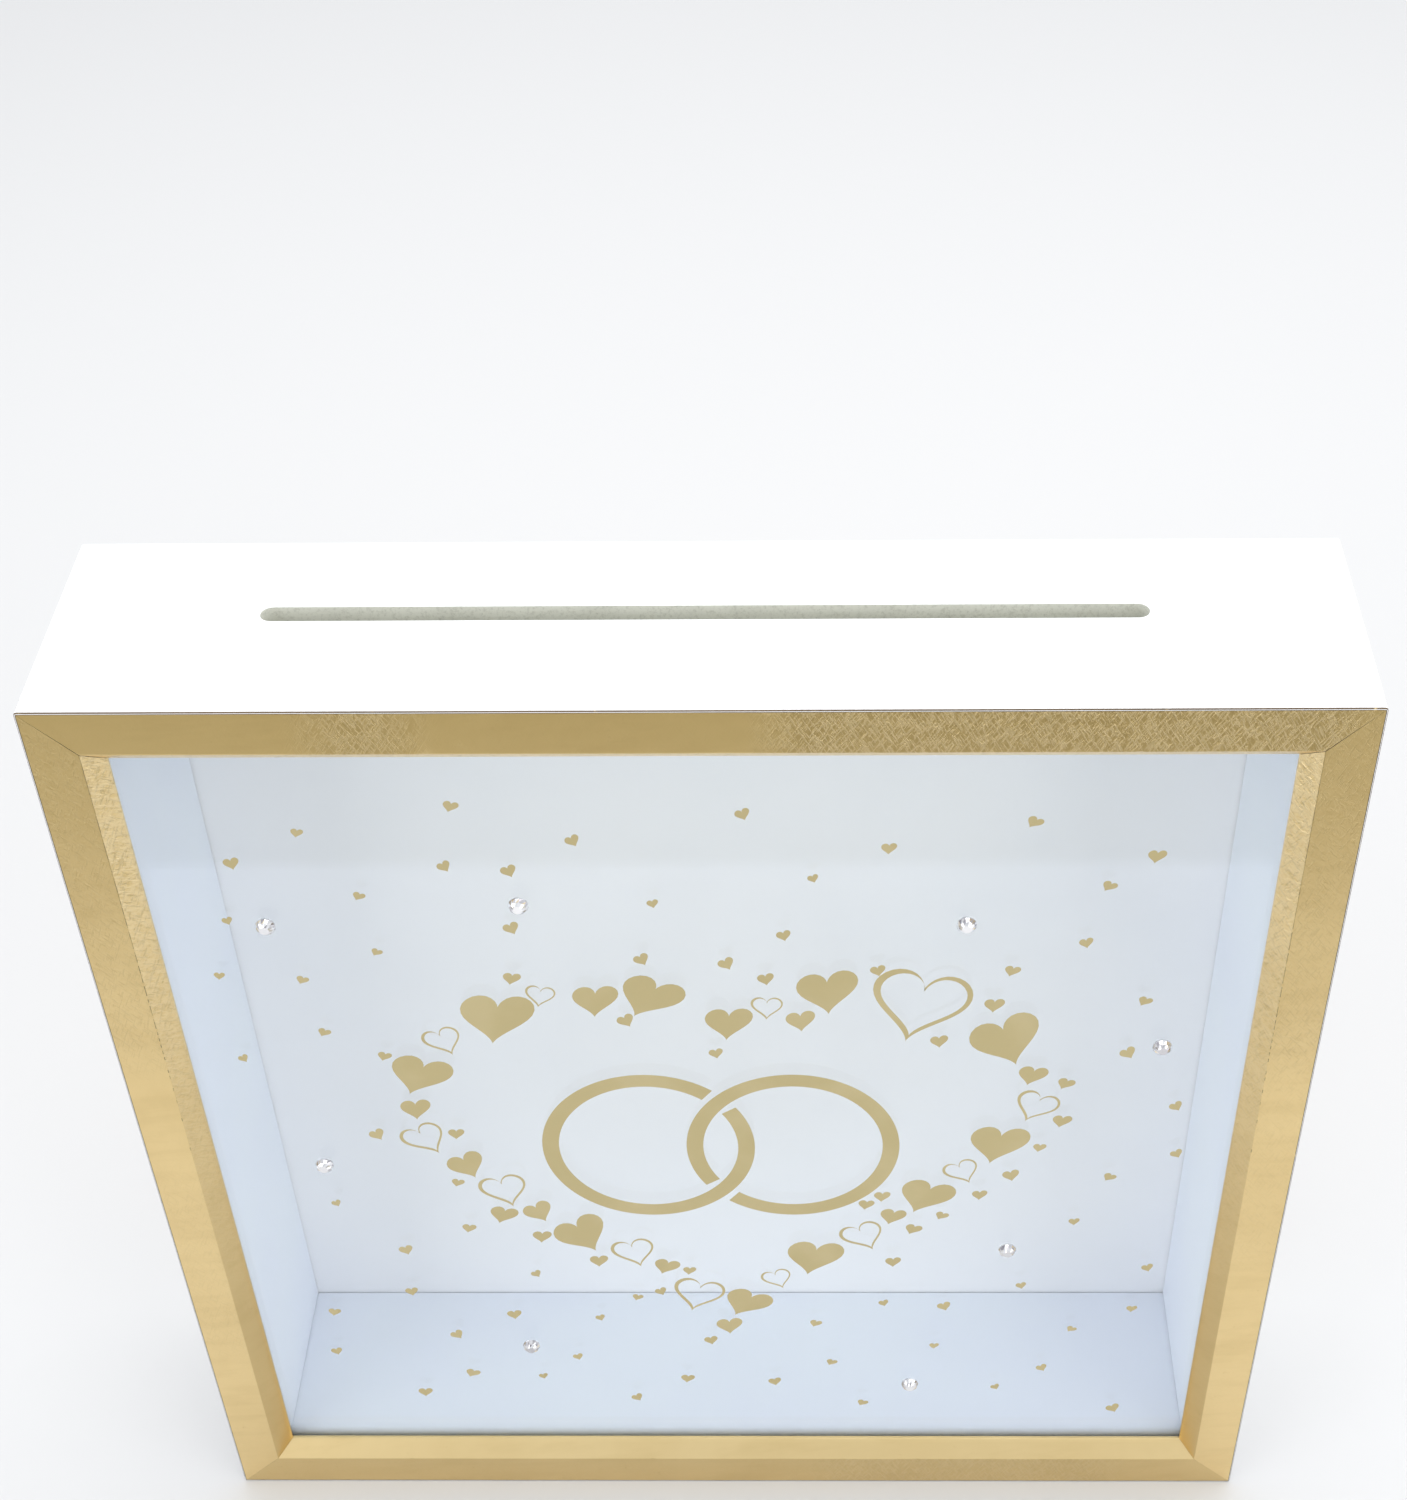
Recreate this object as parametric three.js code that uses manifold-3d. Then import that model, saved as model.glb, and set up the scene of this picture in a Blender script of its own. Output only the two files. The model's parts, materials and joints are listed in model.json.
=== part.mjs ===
// A wedding card box: a white shadow box that stands on a table, with a gold mitred frame and a glass pane in
// front, a card slot in the top, and a back panel that four turn buttons hold in the rear rim.
//
// Units are millimetres. +X is to the viewer's right, +Y runs from the front to the rear, +Z is up.
// The origin is the middle of the box's footprint, on the surface that it stands on.

import * as THREE from "three";
import { mergeVertices } from "three/addons/utils/BufferGeometryUtils.js";
import Module from "manifold-3d";

// ---- Driving dimensions -------------------------------------------------------------------------

const BOX_WIDTH = 300;
const BOX_HEIGHT = 300;
const BOX_DEPTH = 65; // from the gold frame's face to the rear rim

const WALL = 9; // case boards
const LINER = 6; // inner boards that press the glass forward and carry the back panel
const GLASS = 2;
const PANEL = 5;
const PANEL_RECESS = 0.3; // how far the back panel lies below the rear rim

const FIT = 0.3; // clearance between pieces that are put together loose
const MITRE_GLUE = 0.2; // glue line in each mitre, measured square to it

const MOULDING = 5.2; // thickness of the gold frame
const MOULDING_FACE = 12; // its flat front face
const MOULDING_BEVEL = 4.4; // width of the sloping inner edge
const MOULDING_LIP = 0.8; // upright edge left where the slope meets the glass

const SLOT_LENGTH = 204;
const SLOT_WIDTH = 5.4;
const SLOT_FROM_FRONT = 36.2; // from the frame's face to the slot's centre line
const LINER_SLOT_MARGIN = 0.5; // the liner's slot is this much larger all round

const NOTCH_RADIUS = 18; // half-moon finger notch in the panel's top edge

const BUTTON_LENGTH = 24; // turn button, end to end
const BUTTON_MARGIN = 0.5; // rim left bare on either side of a turn button
const BUTTON_TAPER = 1.6; // how much narrower its tip is than its pivot end
const BUTTON_THICKNESS = 1;
const BUTTON_SPREAD = 150; // between the two turn buttons of one side
const BUTTON_FLOAT = 0.1; // play between the button and the screw head

const SCREW_SHANK = 2.6; // diameter
const SCREW_LENGTH = 11; // under the head
const SCREW_HEAD = 5.2; // diameter
const SCREW_HEAD_HEIGHT = 1.5;
const SCREW_CLEARANCE = 0.2; // radial, in the turn button and in the pilot hole

const NAIL_LEG = 5; // V-nail: length of each leg
const NAIL_STRIP = 0.6; // thickness of its steel strip
const NAIL_HEIGHT = 10;
const NAIL_SUNK = 0.2; // below the board's end
const NAIL_CLEARANCE = 0.3;

const GEM_DIAMETER = 5;
const GEM_HEIGHT = 2;
const GEM_SIDES = 12;

// Gems on the glass, to the right of its centre and above it, in halves of the sight opening.
const GEM_PLACES = [
  [-0.8, 0.6],
  [-0.34, 0.65],
  [0.46, 0.6],
  [0.84, 0.28],
  [-0.79, -0.06],
  [0.58, -0.33],
  [-0.43, -0.66],
  [0.39, -0.8],
];

// ---- Places that follow from them ---------------------------------------------------------------

const PANEL_TO_BUTTON = FIT; // the turn button's underside above the rim
const HARDWARE_PROUD = PANEL_TO_BUTTON + BUTTON_THICKNESS + BUTTON_FLOAT + SCREW_HEAD_HEIGHT;
const FRONT_Y = -(BOX_DEPTH + HARDWARE_PROUD) / 2;
const CASE_FRONT_Y = FRONT_Y + MOULDING;
const RIM_Y = FRONT_Y + BOX_DEPTH;
const GLASS_Y = CASE_FRONT_Y + FIT;
const LINER_Y = GLASS_Y + GLASS + FIT;
const PANEL_Y = RIM_Y - PANEL_RECESS - PANEL;
const LINER_DEPTH = PANEL_Y - FIT - LINER_Y;
const SLOT_Y = FRONT_Y + SLOT_FROM_FRONT;
const CENTRE_Z = BOX_HEIGHT / 2;

const INSIDE_WIDTH = BOX_WIDTH - 2 * WALL; // between the case boards
const INSIDE_HEIGHT = BOX_HEIGHT - 2 * WALL;
const SIGHT_WIDTH = BOX_WIDTH - 2 * (MOULDING_FACE + MOULDING_BEVEL); // glass seen inside the frame
const SIGHT_HEIGHT = BOX_HEIGHT - 2 * (MOULDING_FACE + MOULDING_BEVEL);
const RIM_MIDDLE = WALL / 2; // screws and V-nails run in the middle of the boards
const BUTTON_WIDTH = WALL - 2 * BUTTON_MARGIN;
const ROUND = 16; // segments in a full circle of a small hole or shank

// The four sides of the box, each turned about Y so that its own +Z points outwards.
const SIDES = [
  { name: "top", turn: 0, length: BOX_WIDTH, reach: BOX_HEIGHT / 2 },
  { name: "right", turn: Math.PI / 2, length: BOX_HEIGHT, reach: BOX_WIDTH / 2 },
  { name: "bottom", turn: Math.PI, length: BOX_WIDTH, reach: BOX_HEIGHT / 2 },
  { name: "left", turn: -Math.PI / 2, length: BOX_HEIGHT, reach: BOX_WIDTH / 2 },
];

// ---- Materials ----------------------------------------------------------------------------------

const finish = (color, roughness, metalness = 0, extra = {}) =>
  new THREE.MeshStandardMaterial({ color, roughness, metalness, ...extra });

const whitePaint = finish(0xf7f8f8, 0.45);
const linerPaint = finish(0xe9eef4, 0.5);
const goldLeaf = finish(0xc9a75f, 0.35, 1);
const clearGlass = finish(0xf2f8fa, 0.03, 0, { transparent: true, opacity: 0.2 });
const panelBoard = finish(0xeff1f2, 0.6);
const brassPlate = finish(0xc8a24a, 0.3, 1);
const zincSteel = finish(0xb4b8bb, 0.35, 1);
const gemCrystal = finish(0xf4f7ff, 0.05, 0, { transparent: true, opacity: 0.6 });

// ---- Cutting one solid out of another ----------------------------------------------------------

const wasm = await Module();
wasm.setup();

// A closed geometry as a solid.
function solidFrom(geometry) {
  const bare = geometry.clone();
  bare.deleteAttribute("normal");
  bare.deleteAttribute("uv");
  const merged = mergeVertices(bare, 1e-4);
  return new wasm.Manifold(
    new wasm.Mesh({
      numProp: 3,
      vertProperties: merged.attributes.position.array,
      triVerts: new Uint32Array(merged.index.array),
    }),
  );
}

// A solid as a geometry.
function geometryFrom(solid) {
  const mesh = solid.getMesh();
  const geometry = new THREE.BufferGeometry();
  geometry.setAttribute("position", new THREE.BufferAttribute(mesh.vertProperties, mesh.numProp));
  geometry.setIndex(new THREE.BufferAttribute(mesh.triVerts, 1));
  geometry.computeVertexNormals();
  return geometry;
}

// The geometry with every tool cut out of it.
function cut(geometry, tools) {
  const cutSolid = tools.reduce((solid, tool) => solid.subtract(solidFrom(tool)), solidFrom(geometry));
  return geometryFrom(cutSolid);
}

// ---- Shapes -------------------------------------------------------------------------------------

function rectangle(width, height) {
  return new THREE.Shape([
    new THREE.Vector2(-width / 2, -height / 2),
    new THREE.Vector2(width / 2, -height / 2),
    new THREE.Vector2(width / 2, height / 2),
    new THREE.Vector2(-width / 2, height / 2),
  ]);
}

// A slot with round ends, centred on the origin and running along the shape's x.
function stadium(length, width, Kind = THREE.Shape) {
  const radius = width / 2;
  const straight = length / 2 - radius;
  const outline = new Kind();
  outline.moveTo(-straight, -radius);
  outline.lineTo(straight, -radius);
  outline.absarc(straight, 0, radius, -Math.PI / 2, Math.PI / 2, false);
  outline.lineTo(-straight, radius);
  outline.absarc(-straight, 0, radius, Math.PI / 2, (3 * Math.PI) / 2, false);
  return outline;
}

// Extrudes a shape drawn in width and height, seen from the front, rearwards from y = 0.
function extrudeRearwards(shape, depth, curveSegments = ROUND / 2) {
  const geometry = new THREE.ExtrudeGeometry(shape, { depth, bevelEnabled: false, curveSegments });
  return geometry.rotateX(Math.PI / 2).translate(0, depth, 0);
}

// Extrudes a shape drawn in width and depth upwards from z = 0.
function extrudeUpwards(shape, height, curveSegments = ROUND / 2) {
  return new THREE.ExtrudeGeometry(shape, { depth: height, bevelEnabled: false, curveSegments });
}

// A straight piece with mitred ends. Its section is drawn with x as depth and y as height, where y = 0 is the
// outer face and negative is inwards, so each point's own distance inwards shortens the piece there.
function mitredPiece(section, length) {
  const geometry = new THREE.ExtrudeGeometry(section, { depth: 1, bevelEnabled: false });
  const position = geometry.attributes.position;
  const glue = MITRE_GLUE * Math.SQRT1_2;
  for (let i = 0; i < position.count; i += 1) {
    const depth = position.getX(i);
    const inwards = position.getY(i);
    const end = position.getZ(i) > 0.5 ? 1 : -1;
    position.setXYZ(i, end * (length / 2 + inwards - glue), depth, inwards);
  }
  return geometry;
}

function section(points) {
  return new THREE.Shape(points.map(([depth, height]) => new THREE.Vector2(depth, height)));
}

// ---- Small parts --------------------------------------------------------------------------------

// A V-nail's strip, bent square: one leg runs along -x and one along -z from the bend. grown widens it for the
// slot that it sits in.
function nailStrip(grown = 0) {
  const half = NAIL_STRIP / 2 + grown;
  const leg = NAIL_LEG + grown;
  const outline = new THREE.Shape([
    new THREE.Vector2(half, half),
    new THREE.Vector2(-leg, half),
    new THREE.Vector2(-leg, -half),
    new THREE.Vector2(-half, -half),
    new THREE.Vector2(-half, -leg),
    new THREE.Vector2(half, -leg),
  ]);
  return extrudeRearwards(outline, NAIL_HEIGHT + 2 * grown);
}

function screwGeometry() {
  const shank = SCREW_SHANK / 2;
  const head = SCREW_HEAD / 2;
  const profile = [
    new THREE.Vector2(0, -SCREW_LENGTH),
    new THREE.Vector2(shank, -SCREW_LENGTH + shank),
    new THREE.Vector2(shank, 0),
    new THREE.Vector2(head, 0),
    new THREE.Vector2(head, SCREW_HEAD_HEIGHT * 0.45),
    new THREE.Vector2(head * 0.72, SCREW_HEAD_HEIGHT * 0.85),
    new THREE.Vector2(head * 0.35, SCREW_HEAD_HEIGHT),
    new THREE.Vector2(0, SCREW_HEAD_HEIGHT),
  ];
  return new THREE.LatheGeometry(profile, ROUND);
}

// A turn button with its pivot at the origin and its arm along +x.
function turnButtonGeometry() {
  const big = BUTTON_WIDTH / 2;
  const small = (BUTTON_WIDTH - BUTTON_TAPER) / 2;
  const tip = BUTTON_LENGTH - big - small;
  const outline = new THREE.Shape();
  outline.absarc(0, 0, big, Math.PI / 2, (3 * Math.PI) / 2, false);
  outline.absarc(tip, 0, small, -Math.PI / 2, Math.PI / 2, false);
  outline.closePath();
  const hole = new THREE.Path();
  hole.absarc(0, 0, SCREW_SHANK / 2 + SCREW_CLEARANCE, 0, 2 * Math.PI, true);
  outline.holes.push(hole);
  return extrudeRearwards(outline, BUTTON_THICKNESS);
}

// A flat-backed stone: its back lies at y = 0 and its table points forward.
function gemGeometry() {
  const radius = GEM_DIAMETER / 2;
  const profile = [
    new THREE.Vector2(0, -GEM_HEIGHT),
    new THREE.Vector2(radius * 0.52, -GEM_HEIGHT),
    new THREE.Vector2(radius, -GEM_HEIGHT * 0.25),
    new THREE.Vector2(radius, 0),
    new THREE.Vector2(0, 0),
  ];
  return new THREE.LatheGeometry(profile, GEM_SIDES);
}

// ---- Boards of the case -------------------------------------------------------------------------

// Slots for the V-nails at both ends of a side, at the front and at the rear.
function nailSlots(length, depth) {
  const bend = length / 2 - RIM_MIDDLE;
  const slots = [];
  for (const y of [NAIL_SUNK - NAIL_CLEARANCE, depth - NAIL_SUNK - NAIL_HEIGHT - NAIL_CLEARANCE]) {
    slots.push(nailStrip(NAIL_CLEARANCE).translate(bend, y, -RIM_MIDDLE));
    slots.push(nailStrip(NAIL_CLEARANCE).rotateY(-Math.PI / 2).translate(-bend, y, -RIM_MIDDLE));
  }
  return slots;
}

// A blind pilot hole for a turn button's screw, drilled into the rear rim.
function pilotHole(along, depth) {
  const deep = SCREW_LENGTH + SCREW_CLEARANCE;
  const drill = new THREE.CylinderGeometry(
    SCREW_SHANK / 2 + SCREW_CLEARANCE,
    SCREW_SHANK / 2 + SCREW_CLEARANCE,
    deep + 1,
    ROUND,
  );
  return drill.translate(along, depth - deep + (deep + 1) / 2, -RIM_MIDDLE);
}

function caseBoard(side) {
  const depth = BOX_DEPTH - MOULDING;
  const outline = section([
    [0, -WALL],
    [depth, -WALL],
    [depth, 0],
    [0, 0],
  ]);
  const tools = nailSlots(side.length, depth);
  if (side.name === "top") {
    const slot = extrudeUpwards(stadium(SLOT_LENGTH, SLOT_WIDTH), WALL + 2);
    tools.push(slot.translate(0, SLOT_Y - CASE_FRONT_Y, -WALL - 1));
  }
  if (side.name === "left" || side.name === "right") {
    for (const end of [-1, 1]) tools.push(pilotHole((end * BUTTON_SPREAD) / 2, depth));
  }
  return cut(mitredPiece(outline, side.length), tools);
}

// One side of the gold frame: a flat face, a slope down to the glass and a narrow lip.
function goldMoulding(side) {
  const width = MOULDING_FACE + MOULDING_BEVEL;
  const outline = section([
    [0, 0],
    [0, -MOULDING_FACE],
    [MOULDING - MOULDING_LIP, -width],
    [MOULDING, -width],
    [MOULDING, 0],
  ]);
  return mitredPiece(outline, side.length);
}

// ---- Assembly -----------------------------------------------------------------------------------

const box = new THREE.Group();
box.name = "wedding_card_box";

function place(parent, name, geometry, material, x = 0, y = 0, z = 0) {
  const mesh = new THREE.Mesh(geometry, material);
  mesh.name = name;
  mesh.position.set(x, y, z);
  parent.add(mesh);
  return mesh;
}

// A group whose +Z points out of the given side, with its origin on the outer face.
function sideGroup(side) {
  const turned = new THREE.Group();
  turned.position.set(0, 0, CENTRE_Z);
  turned.rotation.y = side.turn;
  const outer = new THREE.Group();
  outer.position.set(0, 0, side.reach);
  turned.add(outer);
  box.add(turned);
  return outer;
}

function addSide(side) {
  const group = sideGroup(side);
  place(group, `case_${side.name}`, caseBoard(side), whitePaint, 0, CASE_FRONT_Y, 0);
  place(group, `frame_${side.name}`, goldMoulding(side), goldLeaf, 0, FRONT_Y, 0);

  // The V-nails of the corner at this side's right-hand end.
  const bend = side.length / 2 - RIM_MIDDLE;
  const frontNailY = CASE_FRONT_Y + NAIL_SUNK;
  const rearNailY = RIM_Y - NAIL_SUNK - NAIL_HEIGHT;
  place(group, `v_nail_front_${side.name}`, nailStrip(), zincSteel, bend, frontNailY, -RIM_MIDDLE);
  place(group, `v_nail_rear_${side.name}`, nailStrip(), zincSteel, bend, rearNailY, -RIM_MIDDLE);

  if (side.name === "left" || side.name === "right") addTurnButtons(group, side);
}

// Two turn buttons with their screws, open: their arms hang down along the rim.
function addTurnButtons(group, side) {
  const seat = RIM_Y + PANEL_TO_BUTTON;
  for (const end of [-1, 1]) {
    const along = (end * BUTTON_SPREAD) / 2;
    const level = (side.name === "left") === (end > 0) ? "upper" : "lower";
    const button = turnButtonGeometry().rotateY(side.name === "left" ? Math.PI : 0);
    place(group, `turn_button_${side.name}_${level}`, button, brassPlate, along, seat, -RIM_MIDDLE);
    const headY = seat + BUTTON_THICKNESS + BUTTON_FLOAT;
    const name = `turn_screw_${side.name}_${level}`;
    place(group, name, screwGeometry(), zincSteel, along, headY, -RIM_MIDDLE);
  }
}

function addGlass() {
  const pane = extrudeRearwards(rectangle(INSIDE_WIDTH - 2 * FIT, INSIDE_HEIGHT - 2 * FIT), GLASS);
  place(box, "glass_pane", pane, clearGlass, 0, GLASS_Y, CENTRE_Z);
  GEM_PLACES.forEach(([x, z], i) => {
    const gemX = (x * SIGHT_WIDTH) / 2;
    const gemZ = CENTRE_Z + (z * SIGHT_HEIGHT) / 2;
    place(box, `gem_${i + 1}`, gemGeometry(), gemCrystal, gemX, GLASS_Y, gemZ);
  });
}

// The liner: a top and a bottom board across the whole inside, and two side boards between them.
function addLiner() {
  const across = INSIDE_WIDTH - 2 * FIT;
  const middleY = LINER_Y + LINER_DEPTH / 2;
  const plain = rectangle(across, LINER_DEPTH);
  const slotted = rectangle(across, LINER_DEPTH);
  const slot = stadium(SLOT_LENGTH + 2 * LINER_SLOT_MARGIN, SLOT_WIDTH + 2 * LINER_SLOT_MARGIN, THREE.Path);
  const slotShift = SLOT_Y - middleY;
  const shifted = new THREE.Path(slot.getPoints(ROUND / 2).map((p) => new THREE.Vector2(p.x, p.y + slotShift)));
  slotted.holes.push(shifted);

  const bottomZ = WALL + FIT;
  const topZ = BOX_HEIGHT - WALL - FIT - LINER;
  place(box, "liner_bottom", extrudeUpwards(plain, LINER), linerPaint, 0, middleY, bottomZ);
  place(box, "liner_top", extrudeUpwards(slotted, LINER), linerPaint, 0, middleY, topZ);

  const upright = rectangle(LINER, LINER_DEPTH);
  const height = topZ - FIT - (bottomZ + LINER + FIT);
  const x = INSIDE_WIDTH / 2 - FIT - LINER / 2;
  place(box, "liner_left", extrudeUpwards(upright, height), linerPaint, -x, middleY, bottomZ + LINER + FIT);
  place(box, "liner_right", extrudeUpwards(upright, height), linerPaint, x, middleY, bottomZ + LINER + FIT);
}

// The back panel, with a half-moon notch in its top edge to lift it out by.
function addBackPanel() {
  const halfWidth = INSIDE_WIDTH / 2 - FIT;
  const halfHeight = INSIDE_HEIGHT / 2 - FIT;
  const outline = new THREE.Shape();
  outline.moveTo(-halfWidth, -halfHeight);
  outline.lineTo(halfWidth, -halfHeight);
  outline.lineTo(halfWidth, halfHeight);
  outline.absarc(0, halfHeight, NOTCH_RADIUS, 0, -Math.PI, true);
  outline.lineTo(-halfWidth, halfHeight);
  place(box, "back_panel", extrudeRearwards(outline, PANEL, ROUND), panelBoard, 0, PANEL_Y, CENTRE_Z);
}

SIDES.forEach(addSide);
addGlass();
addLiner();
addBackPanel();

export default box;
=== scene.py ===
"""A white wedding card box with a gold mitred frame, dressed for a studio picture.

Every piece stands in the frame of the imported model: metres, X to the viewer's right, Y to the rear, Z up.
Sizes inside the classes are millimetres, as on a drawing, and become metres when a mesh is made.
"""

from __future__ import annotations

import json
import logging
import math
from collections.abc import Sequence
from dataclasses import dataclass, field
from enum import Enum, IntEnum

import bpy
import numpy as np
from mathutils import Euler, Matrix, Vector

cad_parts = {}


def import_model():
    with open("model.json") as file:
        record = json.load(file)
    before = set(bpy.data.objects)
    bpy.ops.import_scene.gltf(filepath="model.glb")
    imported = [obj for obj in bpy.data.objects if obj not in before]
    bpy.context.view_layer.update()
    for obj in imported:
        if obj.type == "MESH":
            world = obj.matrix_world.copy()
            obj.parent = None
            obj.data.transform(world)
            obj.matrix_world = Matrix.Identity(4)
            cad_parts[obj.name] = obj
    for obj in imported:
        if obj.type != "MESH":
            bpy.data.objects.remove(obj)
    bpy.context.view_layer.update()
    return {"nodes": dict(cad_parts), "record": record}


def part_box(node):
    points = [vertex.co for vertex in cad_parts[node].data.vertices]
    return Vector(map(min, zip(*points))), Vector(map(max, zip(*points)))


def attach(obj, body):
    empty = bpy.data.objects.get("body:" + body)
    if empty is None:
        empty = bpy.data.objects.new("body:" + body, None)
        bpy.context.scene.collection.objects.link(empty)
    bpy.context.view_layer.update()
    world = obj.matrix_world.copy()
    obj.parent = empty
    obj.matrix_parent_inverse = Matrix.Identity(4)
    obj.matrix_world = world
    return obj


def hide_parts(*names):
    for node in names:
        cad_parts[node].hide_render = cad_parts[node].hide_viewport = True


log = logging.getLogger("card_box")

MM = 0.001
QUARTER = math.pi / 2
ROOT_BODY = "box"
WORK_AND_SHADE = "work_and_shade"
FACET_GLINT = "facet_glint"

Triple = tuple[float, float, float]


# ---------------------------------------------------------------------------------------------------
# Shader maths
# ---------------------------------------------------------------------------------------------------


class Wire:
    """A node's output socket. Arithmetic on it adds Math nodes."""

    def __init__(self, bench: Bench, socket: bpy.types.NodeSocket) -> None:
        """Wraps a socket of a node in the bench's material."""
        self.bench = bench
        self.socket = socket

    def _maths(self, operation: str, first: object, second: object, clamp: bool = False) -> Wire:
        """A Math node's result for two values, each a number or a wire."""
        return self.bench.node("ShaderNodeMath", {0: first, 1: second}, operation=operation, use_clamp=clamp)

    def __add__(self, other: object) -> Wire:
        """This plus other."""
        return self._maths("ADD", self, other)

    def __radd__(self, other: object) -> Wire:
        """Other plus this."""
        return self._maths("ADD", other, self)

    def __sub__(self, other: object) -> Wire:
        """This less other."""
        return self._maths("SUBTRACT", self, other)

    def __rsub__(self, other: object) -> Wire:
        """Other less this."""
        return self._maths("SUBTRACT", other, self)

    def __mul__(self, other: object) -> Wire:
        """This times other."""
        return self._maths("MULTIPLY", self, other)

    def __rmul__(self, other: object) -> Wire:
        """Other times this."""
        return self._maths("MULTIPLY", other, self)

    def __pow__(self, other: object) -> Wire:
        """This to the power of other."""
        return self._maths("POWER", self, other)

    def most(self, other: object) -> Wire:
        """The larger of this and other."""
        return self._maths("MAXIMUM", self, other)

    def size(self) -> Wire:
        """This without its sign."""
        return self._maths("ABSOLUTE", self, 0.0)

    def held(self) -> Wire:
        """This, kept between 0 and 1."""
        return self._maths("ADD", self, 0.0, clamp=True)

    def between(self, low: float, high: float) -> Wire:
        """0 where this is below low, 1 where it is above high, and a smooth step from one to the other."""
        sockets = {"Value": self, "From Min": low, "From Max": high}
        return self.bench.node("ShaderNodeMapRange", sockets, interpolation_type="SMOOTHSTEP")


class Bench:
    """A material, or the room's light, while its nodes are being laid out."""

    def __init__(self, owner: bpy.types.Material | bpy.types.World, outlet: str = "Material") -> None:
        """Starts with no nodes.

        Args:
            owner: What the nodes are for.
            outlet: Kind of the output node, Material or World.
        """
        self.owner = owner
        self.outlet = outlet
        owner.use_nodes = True
        self.tree = owner.node_tree
        self.tree.nodes.clear()

    @classmethod
    def named(cls, name: str) -> Bench:
        """A new material's bench."""
        return cls(bpy.data.materials.new(name))

    def node(
        self, kind: str, inputs: dict[str | int, object], output: str | int = 0, **settings: object
    ) -> Wire:
        """Adds a node.

        Args:
            kind: The node's type.
            inputs: Values or wires for its sockets, by name or number.
            output: The output that is wanted.
            settings: Its properties, set first.

        Returns:
            That output.
        """
        made = self.tree.nodes.new(kind)
        for key, value in settings.items():
            setattr(made, key, value)
        for key, value in inputs.items():
            if isinstance(value, Wire):
                self.tree.links.new(value.socket, made.inputs[key])
            else:
                made.inputs[key].default_value = value
        return Wire(self, made.outputs[output])

    def stored(self, attribute: str) -> Wire:
        """What the mesh stores under a name."""
        return self.node("ShaderNodeAttribute", {}, "Fac", attribute_name=attribute)

    def noise(self, scale: float, detail: float = 3.0, rough: float = 0.5, at: Wire | None = None) -> Wire:
        """Fractal noise between 0 and 1.

        Args:
            scale: Features per metre.
            detail: Octaves.
            rough: Strength of the finer octaves.
            at: Where it is read; the place on the piece, in metres, unless given.

        Returns:
            The noise.
        """
        place = at or self.node("ShaderNodeTexCoord", {}, "Object")
        sockets = {"Vector": place, "Scale": scale, "Detail": detail, "Roughness": rough}
        return self.node("ShaderNodeTexNoise", sockets)

    def streaks(self, lean: float, stretch: Triple, detail: float, rough: float) -> Wire:
        """Noise drawn out into leaning streaks: the place is turned about Y and then stretched.

        Args:
            lean: The turn, in degrees.
            stretch: Features per metre along each turned axis.
            detail: Octaves.
            rough: Strength of the finer octaves.

        Returns:
            The noise.
        """
        place = self.node("ShaderNodeTexCoord", {}, "Object")
        turn = (0.0, math.radians(lean), 0.0)
        turned = self.node("ShaderNodeMapping", {"Vector": place, "Rotation": turn})
        along = self.node("ShaderNodeVectorMath", {0: turned, 1: stretch}, operation="MULTIPLY")
        return self.noise(1.0, detail, rough, along)

    def blend(self, factor: object, first: object, second: object) -> Wire:
        """A mix of two colours.

        Args:
            factor: 0 gives the first and 1 the second.
            first: A colour or a wire.
            second: A colour or a wire.

        Returns:
            The mixed colour.
        """
        first, second = (c if isinstance(c, Wire) else (*c, 1.0) for c in (first, second))
        return self.node("ShaderNodeMix", {0: factor, 6: first, 7: second}, 2, data_type="RGBA")

    def bump(self, height: Wire, depth_mm: float, strength: float) -> Wire:
        """The normal bumped by a height, of which 1 stands for depth_mm, at a share of its strength."""
        sockets = {"Height": height, "Distance": depth_mm * MM, "Strength": strength}
        return self.node("ShaderNodeBump", sockets)

    def finish(self, shader: Wire) -> bpy.types.Material | bpy.types.World:
        """Leads the last shader to the output.

        Args:
            shader: The shader.

        Returns:
            What the nodes are for, finished.
        """
        made = self.tree.nodes.new(f"ShaderNodeOutput{self.outlet}")
        self.tree.links.new(shader.socket, made.inputs["Surface"])
        return self.owner

    def coat(self, **sockets: object) -> bpy.types.Material:
        """Finishes with a Principled shader, whose Base Color socket is called base_color, and so on."""
        named = {key.replace("_", " ").title(): value for key, value in sockets.items()}
        return self.finish(self.node("ShaderNodeBsdfPrincipled", named))


# ---------------------------------------------------------------------------------------------------
# Finishes
# ---------------------------------------------------------------------------------------------------


@dataclass(frozen=True)
class TwoTone:
    """What most finishes have.

    Attributes:
        name: The material's name.
        tone: Its main colour.
        second: The colour that it varies towards.
        gloss: Its roughness where it is smoothest.
    """

    name: str
    tone: Triple
    second: Triple
    gloss: float


@dataclass(frozen=True)
class RollerPaint(TwoTone):
    """Satin paint put on fibreboard with a fine roller, with faintly thinner patches."""

    def build(self) -> bpy.types.Material:
        """Lays out the paint.

        Returns:
            The material.
        """
        bench = Bench.named(self.name)
        patches = bench.noise(14.0, 4.0, 0.6)
        stipple = bench.noise(950.0, 2.0, 0.55)
        height = stipple * 0.7 + bench.noise(160.0, 2.0) * 0.3
        return bench.coat(
            base_color=bench.blend(patches.between(0.35, 0.7), self.tone, self.second),
            roughness=patches * 0.12 + (self.gloss + stipple * 0.06),
            normal=bench.bump(height, 0.05, 0.35),
        )


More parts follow.
